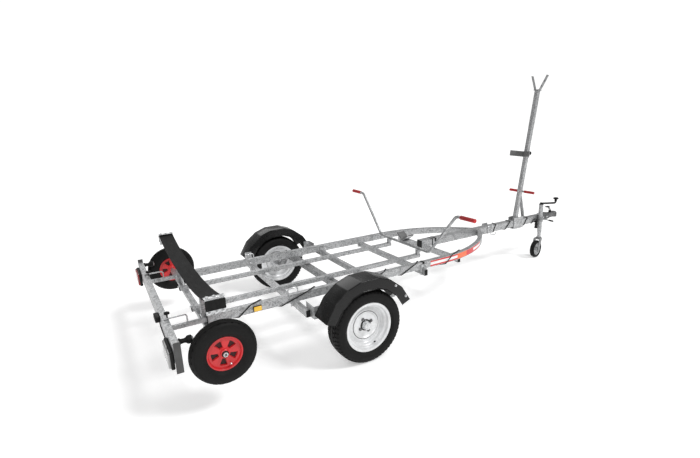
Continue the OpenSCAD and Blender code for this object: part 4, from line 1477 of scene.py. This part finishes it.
class TRAILER_OT_front_end(PieceOperator, bpy.types.Operator):
    """Models the coupling, its handle, the plug and the stowage hook"""

    bl_idname = "trailer.front_end"
    bl_label = "Coupling and plug"

    def execute(self, context):
        done(self.coupling_head(), "trailer", "cast_steel", ["coupling_head"])
        done(self.coupling_lever(), "trailer", "black_plastic", ["coupling_handle"])
        done(self.plug(), "trailer", "black_plastic", ["trailer_plug"])
        hook = pipe(
            "stowage_rod",
            [at(2.185, 0, 0.4118), at(2.185, 0, 0.362), at(2.26, 0, 0.362), at(2.26, 0, 0.384)],
            0.005, 0.018,
        )
        done(hook, "trailer", "zinc_bright", ["stowage_hook"])
        return {"FINISHED"}

    def coupling_head(self):
        """Pressed socket: a sleeve over the drawbar that narrows to a domed cup."""
        alone()
        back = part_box("coupling_head")[0].x + 0.0015
        front = AXLE_X + 3.115
        bpy.ops.mesh.primitive_cube_add(
            size=1.0, location=((back + front) / 2, 0, 0.4535), scale=(front - back, 0.078, 0.067)
        )
        piece = settled("coupling_body")
        with editing(piece):
            for step, wide, tall in ((0.035, 0.78, 0.84), (0.06, 0.98, 0.94), (0.022, 1.0, 0.96)):
                pick(piece, "faces", lambda face: face.normal.x > 0.9)
                extruded((step, 0, 0))
                bpy.ops.transform.resize(value=(1.0, wide, tall), center_override=(0, 0, 0.45))
        rounded(piece, 0.005, 25)
        cup = turned(
            "coupling_cup",
            [(0.0, -0.003), (0.0262, -0.003), (0.0262, -0.018), (0.0395, -0.018), (0.0395, 0.022),
             (0.0375, 0.031), (0.031, 0.039), (0.02, 0.044), (0.0, 0.045)],
            at(3.25, 0, 0.442), axis=UP, steps=48,
        )
        return joined("coupling_body", [piece, cup])

    def coupling_lever(self):
        """Hinged lever with two arms and a moulded hand grip."""
        x, z = 3.184, 0.482
        low, high = at(x - 0.016, -0.009, z + 0.0005), at(x + 0.016, 0.009, z + 0.026)
        parts = [block("lever_foot", low, high, 0.003)]
        for side in (-0.008, 0.008):
            parts.append(pipe(
                f"lever_arm_{side}",
                [at(x, side, z + 0.014), at(x - 0.006, side, z + 0.04), at(x - 0.036, side, z + 0.068),
                 at(x - 0.06, side, z + 0.071)],
                0.0042, 0.01, 10,
            ))
        low, high = at(x - 0.076, -0.0155, z + 0.0665), at(x - 0.024, 0.0155, z + 0.0795)
        parts.append(block("lever_grip", low, high, 0.005, 4))
        return joined("coupling_lever", parts)

    def plug(self):
        """Seven-way plug hung in its holder, its cable end at the top."""
        top = at(2.87, -0.058, 0.436)
        profile = [
            (0.0, 0.0), (0.0075, 0.0), (0.0085, -0.004), (0.0095, -0.014), (0.0125, -0.016),
            (0.0145, -0.022), (0.015, -0.032), (0.018, -0.036), (0.0188, -0.04), (0.0188, -0.048),
            (0.0165, -0.05), (0.0165, -0.072), (0.0188, -0.074), (0.0188, -0.0895), (0.015, -0.0895),
            (0.0145, -0.078), (0.0, -0.078),
        ]
        body = turned("plug_body", profile, top, axis=UP, steps=40)
        holder = block("plug_holder", at(2.86, -0.058, 0.412), at(2.88, -0.0354, 0.428), 0.0015)
        return joined("plug", [body, holder])


class TRAILER_OT_mast(PieceOperator, bpy.types.Operator):
    """Models the post's handlebar with its grips, the bow rest's clamp and the post's bolts"""

    bl_idname = "trailer.mast"
    bl_label = "Mast post"

    def execute(self, context):
        lean = Matrix.Rotation(math.radians(9.6), 4, "Y")
        foot = Matrix.Translation(at(2.565, 0, 0.482))
        self.up = foot @ lean
        bar = self.stood("post_bar", lambda name: turned(
            name, [(0.0, -0.15), (0.0105, -0.15), (0.011, -0.1485), (0.011, 0.1485),
                   (0.0105, 0.15), (0.0, 0.15)],
            Vector((0.0313, 0.0, 0.326)), steps=20,
        ))
        done(bar, "trailer", "zinc", ["post_handlebar"])
        left = self.stood("post_grip_left", lambda name: grip(
            name, Vector((0.0313, 0.04, 0.326)), ACROSS, 0.122, 0.015, 0.0112, 11
        ))
        mirrored(left, "trailer", "red_grip", ["post_grips"])
        self.clamps()
        return {"FINISHED"}

    def stood(self, name, make):
        """A piece modelled on an upright post, leaned and moved to the real one."""
        piece = make(name)
        piece.data.transform(self.up)
        return piece

    def clamps(self):
        """Hand screw on the bow rest, which slides with it, and the post's bolts."""
        knob = turned(
            "bow_clamp_knob",
            [(0.0, 0.0), (0.0065, 0.0), (0.0065, 0.018), (0.018, 0.02), (0.021, 0.024), (0.021, 0.032),
             (0.018, 0.036), (0.0, 0.037)],
            Vector((0.0255, 0.0, 0.735 + 0.018)), axis=AHEAD, steps=32,
        )
        knob.data.transform(self.up)
        done(knob, "bow_stop", "black_plastic")
        spots = [(Vector((-0.0201, 0.0, height)), -AHEAD) for height in (0.326, 0.06)]
        bolts = bolted("mast_bolts", spots, 0.009)
        bolts.data.transform(self.up)
        done(bolts, "trailer", "zinc_bright")


class TRAILER_OT_jockey(PieceOperator, bpy.types.Operator):
    """Models the jockey wheel's tyre, disc, crank and clamp sleeve"""

    bl_idname = "trailer.jockey"
    bl_label = "Jockey wheel"

    def execute(self, context):
        wheel = middle("jockey_tyre")
        turn = math.radians(11)
        axis = Vector((-math.sin(turn), math.cos(turn), 0.0))
        half = [
            (0.0705, 0.019), (0.076, 0.0225), (0.084, 0.0248), (0.09, 0.0245), (0.094, 0.0228),
            (0.0965, 0.019), (0.0975, 0.012), (0.0945, 0.011), (0.0945, 0.0085), (0.0995, 0.0075),
            (0.1, 0.001),
        ]
        tyre = turned("jockey_tread", whole_profile(half), wheel, axis=axis, steps=60, closed=True)
        done(tyre, "jockey_wheel", "tyre_rubber", ["jockey_tyre"], "jockey_rubber")
        rim = [
            (0.0085, 0.024), (0.02, 0.024), (0.0215, 0.022), (0.0215, 0.006), (0.027, 0.0045),
            (0.052, 0.0045), (0.058, 0.007), (0.061, 0.016), (0.065, 0.019), (0.07, 0.019),
        ]
        disc = turned("jockey_disc", whole_profile(rim), wheel, axis=axis, steps=72, closed=True)
        pin = turned(
            "jockey_pin",
            [(0.0, -0.043), (0.007, -0.043), (0.0078, -0.042), (0.0078, 0.042), (0.007, 0.043),
             (0.0, 0.043)],
            wheel, axis=axis, steps=20,
        )
        both = joined("jockey_disc", [disc, pin])
        done(both, "jockey_wheel", "silver_paint", ["jockey_rim"], "zinc")
        self.crank()
        self.handle()
        return {"FINISHED"}

    def crank(self):
        """Winding handle: hub, cranked arm and a turning grip."""
        hub = at(2.925, -0.065, 0.6203)
        reach = Vector((0.142, -0.082, 0.0))
        parts = [
            turned(
                "crank_hub",
                [(0.0, 0.0), (0.0235, 0.0), (0.0235, 0.006), (0.016, 0.009), (0.0145, 0.022),
                 (0.0, 0.0225)],
                hub, axis=UP, steps=36,
            ),
            pipe(
                "crank_arm",
                [hub + UP * 0.012 - reach * 0.05, hub + UP * 0.012 + reach, hub + UP * 0.068 + reach],
                0.0105, 0.02, 14,
            ),
            turned(
                "crank_knob",
                [(0.0, 0.03), (0.011, 0.03), (0.015, 0.034), (0.0125, 0.048), (0.017, 0.054),
                 (0.027, 0.06), (0.029, 0.066), (0.027, 0.073), (0.015, 0.077), (0.0, 0.0775)],
                hub + reach, axis=UP, steps=32,
            ),
        ]
        done(joined("winding_handle", parts), "jockey_stand", "black_plastic", ["jockey_crank"])

    def handle(self):
        """Black sleeve on the end of the clamp's bar."""
        start, end = at(2.954, -0.077, 0.446), at(3.097, -0.117, 0.403)
        axis = (end - start).normalized()
        sleeve = turned(
            "clamp_sleeve",
            [(0.0, 0.092), (0.0095, 0.092), (0.01, 0.095), (0.01, 0.148), (0.0085, 0.1535),
             (0.0, 0.154)],
            start, axis=axis, steps=24,
        )
        done(sleeve, "trailer", "black_plastic", finish="black_rubber")


# ---------------------------------------------------------------- stage


class TRAILER_OT_stage(PieceOperator, bpy.types.Operator):
    """Sets the pale floor, the soft lights and the camera"""

    bl_idname = "trailer.stage"
    bl_label = "Stage"

    def execute(self, context):
        settings = context.scene.trailer_stage
        alone()
        bpy.ops.mesh.primitive_plane_add(size=60.0, location=(0, 0, 0))
        floor = settled("floor")
        floor.data.materials.append(self.floor_finish(settings.floor_tone))
        self.surroundings()
        self.light("key", settings.key_strength, 16.0, (3.2, -3.4, 5.4))
        self.light("fill", settings.key_strength * 0.55, 30.0, (-4.0, -5.5, 5.0))
        self.light("back", settings.key_strength * 0.35, 40.0, (1.0, 6.0, 5.0))
        self.camera()
        return {"FINISHED"}

    def floor_finish(self, tone):
        """Pale floor that glows a little, so that shadows stay light."""
        finish = Finish("Pale floor", {
            "Roughness": 0.9, "Specular IOR Level": 0.1, "Emission Strength": 0.34,
            "Emission Color": grey(1.0),
        })
        clouds = finish.noise(finish.place(), 0.7, 3.0)
        finish.set("Base Color", finish.mix(clouds, grey(tone), grey(tone * 0.985)))
        return finish.material

    def surroundings(self):
        """White backdrop that lights the trailer less than it shows."""
        world = bpy.data.worlds.new("surroundings")
        world.use_nodes = True
        tree = world.node_tree
        backdrop = tree.nodes["Background"]
        rays = tree.nodes.new("ShaderNodeLightPath")
        shown = tree.nodes.new("ShaderNodeMapRange")
        shown.inputs["To Min"].default_value = 0.30
        shown.inputs["To Max"].default_value = 1.05
        tree.links.new(rays.outputs["Is Camera Ray"], shown.inputs["Value"])
        tree.links.new(shown.outputs[0], backdrop.inputs["Strength"])
        backdrop.inputs["Color"].default_value = grey(1.0)
        bpy.context.scene.world = world
        bpy.context.scene.view_settings.view_transform = "Standard"

    def light(self, name, strength, spread, place):
        """Soft sun that shines from a place towards the middle of the floor."""
        bpy.ops.object.light_add(type="SUN", location=place)
        lamp = bpy.context.object
        lamp.name = name
        lamp.data.energy = strength
        lamp.data.angle = math.radians(spread)
        lamp.rotation_euler = (-Vector(place)).to_track_quat("-Z", "Y").to_euler()

    def camera(self):
        """Camera at standing height behind the right rear corner."""
        heading, down, roll = 0.526, 0.257, -0.035
        ahead = Vector((
            math.sin(heading) * math.cos(down), math.cos(heading) * math.cos(down), -math.sin(down)
        ))
        right = Vector((math.cos(heading), -math.sin(heading), 0.0))
        above = right.cross(ahead)
        x = right * math.cos(roll) + above * math.sin(roll)
        y = above * math.cos(roll) - right * math.sin(roll)
        turn = Matrix((x, y, -ahead)).transposed()
        bpy.ops.object.camera_add(location=(-2.505, -3.283, 1.723), rotation=turn.to_euler())
        camera = bpy.context.object
        camera.name = "camera"
        camera.data.lens = 22.80
        camera.data.sensor_width = 36.0
        bpy.context.scene.camera = camera


# ---------------------------------------------------------------- panel and run


STEPS = (
    TRAILER_OT_finishes, TRAILER_OT_stage, TRAILER_OT_road_wheels, TRAILER_OT_launching_wheels,
    TRAILER_OT_mudguards, TRAILER_OT_light_board, TRAILER_OT_trolley, TRAILER_OT_fittings,
    TRAILER_OT_front_end, TRAILER_OT_mast, TRAILER_OT_jockey,
)
SETTINGS = {
    "trailer_colours": TrailerColours,
    "trailer_wheels": TrailerWheels,
    "trailer_fittings": TrailerFittings,
    "trailer_stage": TrailerStage,
}


class TRAILER_PT_panel(bpy.types.Panel):
    """Lists the trailer's steps and its sizes and colours"""

    bl_label = "Boat trailer"
    bl_idname = "TRAILER_PT_panel"
    bl_space_type = "VIEW_3D"
    bl_region_type = "UI"
    bl_category = "Trailer"

    def draw(self, context):
        for group in SETTINGS:
            box = self.layout.box()
            values = getattr(context.scene, group)
            for key in values.__annotations__:
                box.prop(values, key)
        for step in STEPS:
            self.layout.operator(step.bl_idname)


def register():
    for group, kind in SETTINGS.items():
        bpy.utils.register_class(kind)
        setattr(bpy.types.Scene, group, bpy.props.PointerProperty(type=kind))
    for step in STEPS:
        bpy.utils.register_class(step)
    bpy.utils.register_class(TRAILER_PT_panel)


def unregister():
    bpy.utils.unregister_class(TRAILER_PT_panel)
    for step in reversed(STEPS):
        bpy.utils.unregister_class(step)
    for group, kind in SETTINGS.items():
        delattr(bpy.types.Scene, group)
        bpy.utils.unregister_class(kind)


def main():
    register()
    for step in STEPS:
        group, name = step.bl_idname.split(".")
        getattr(getattr(bpy.ops, group), name)()


if __name__ == "__main__":
    main()
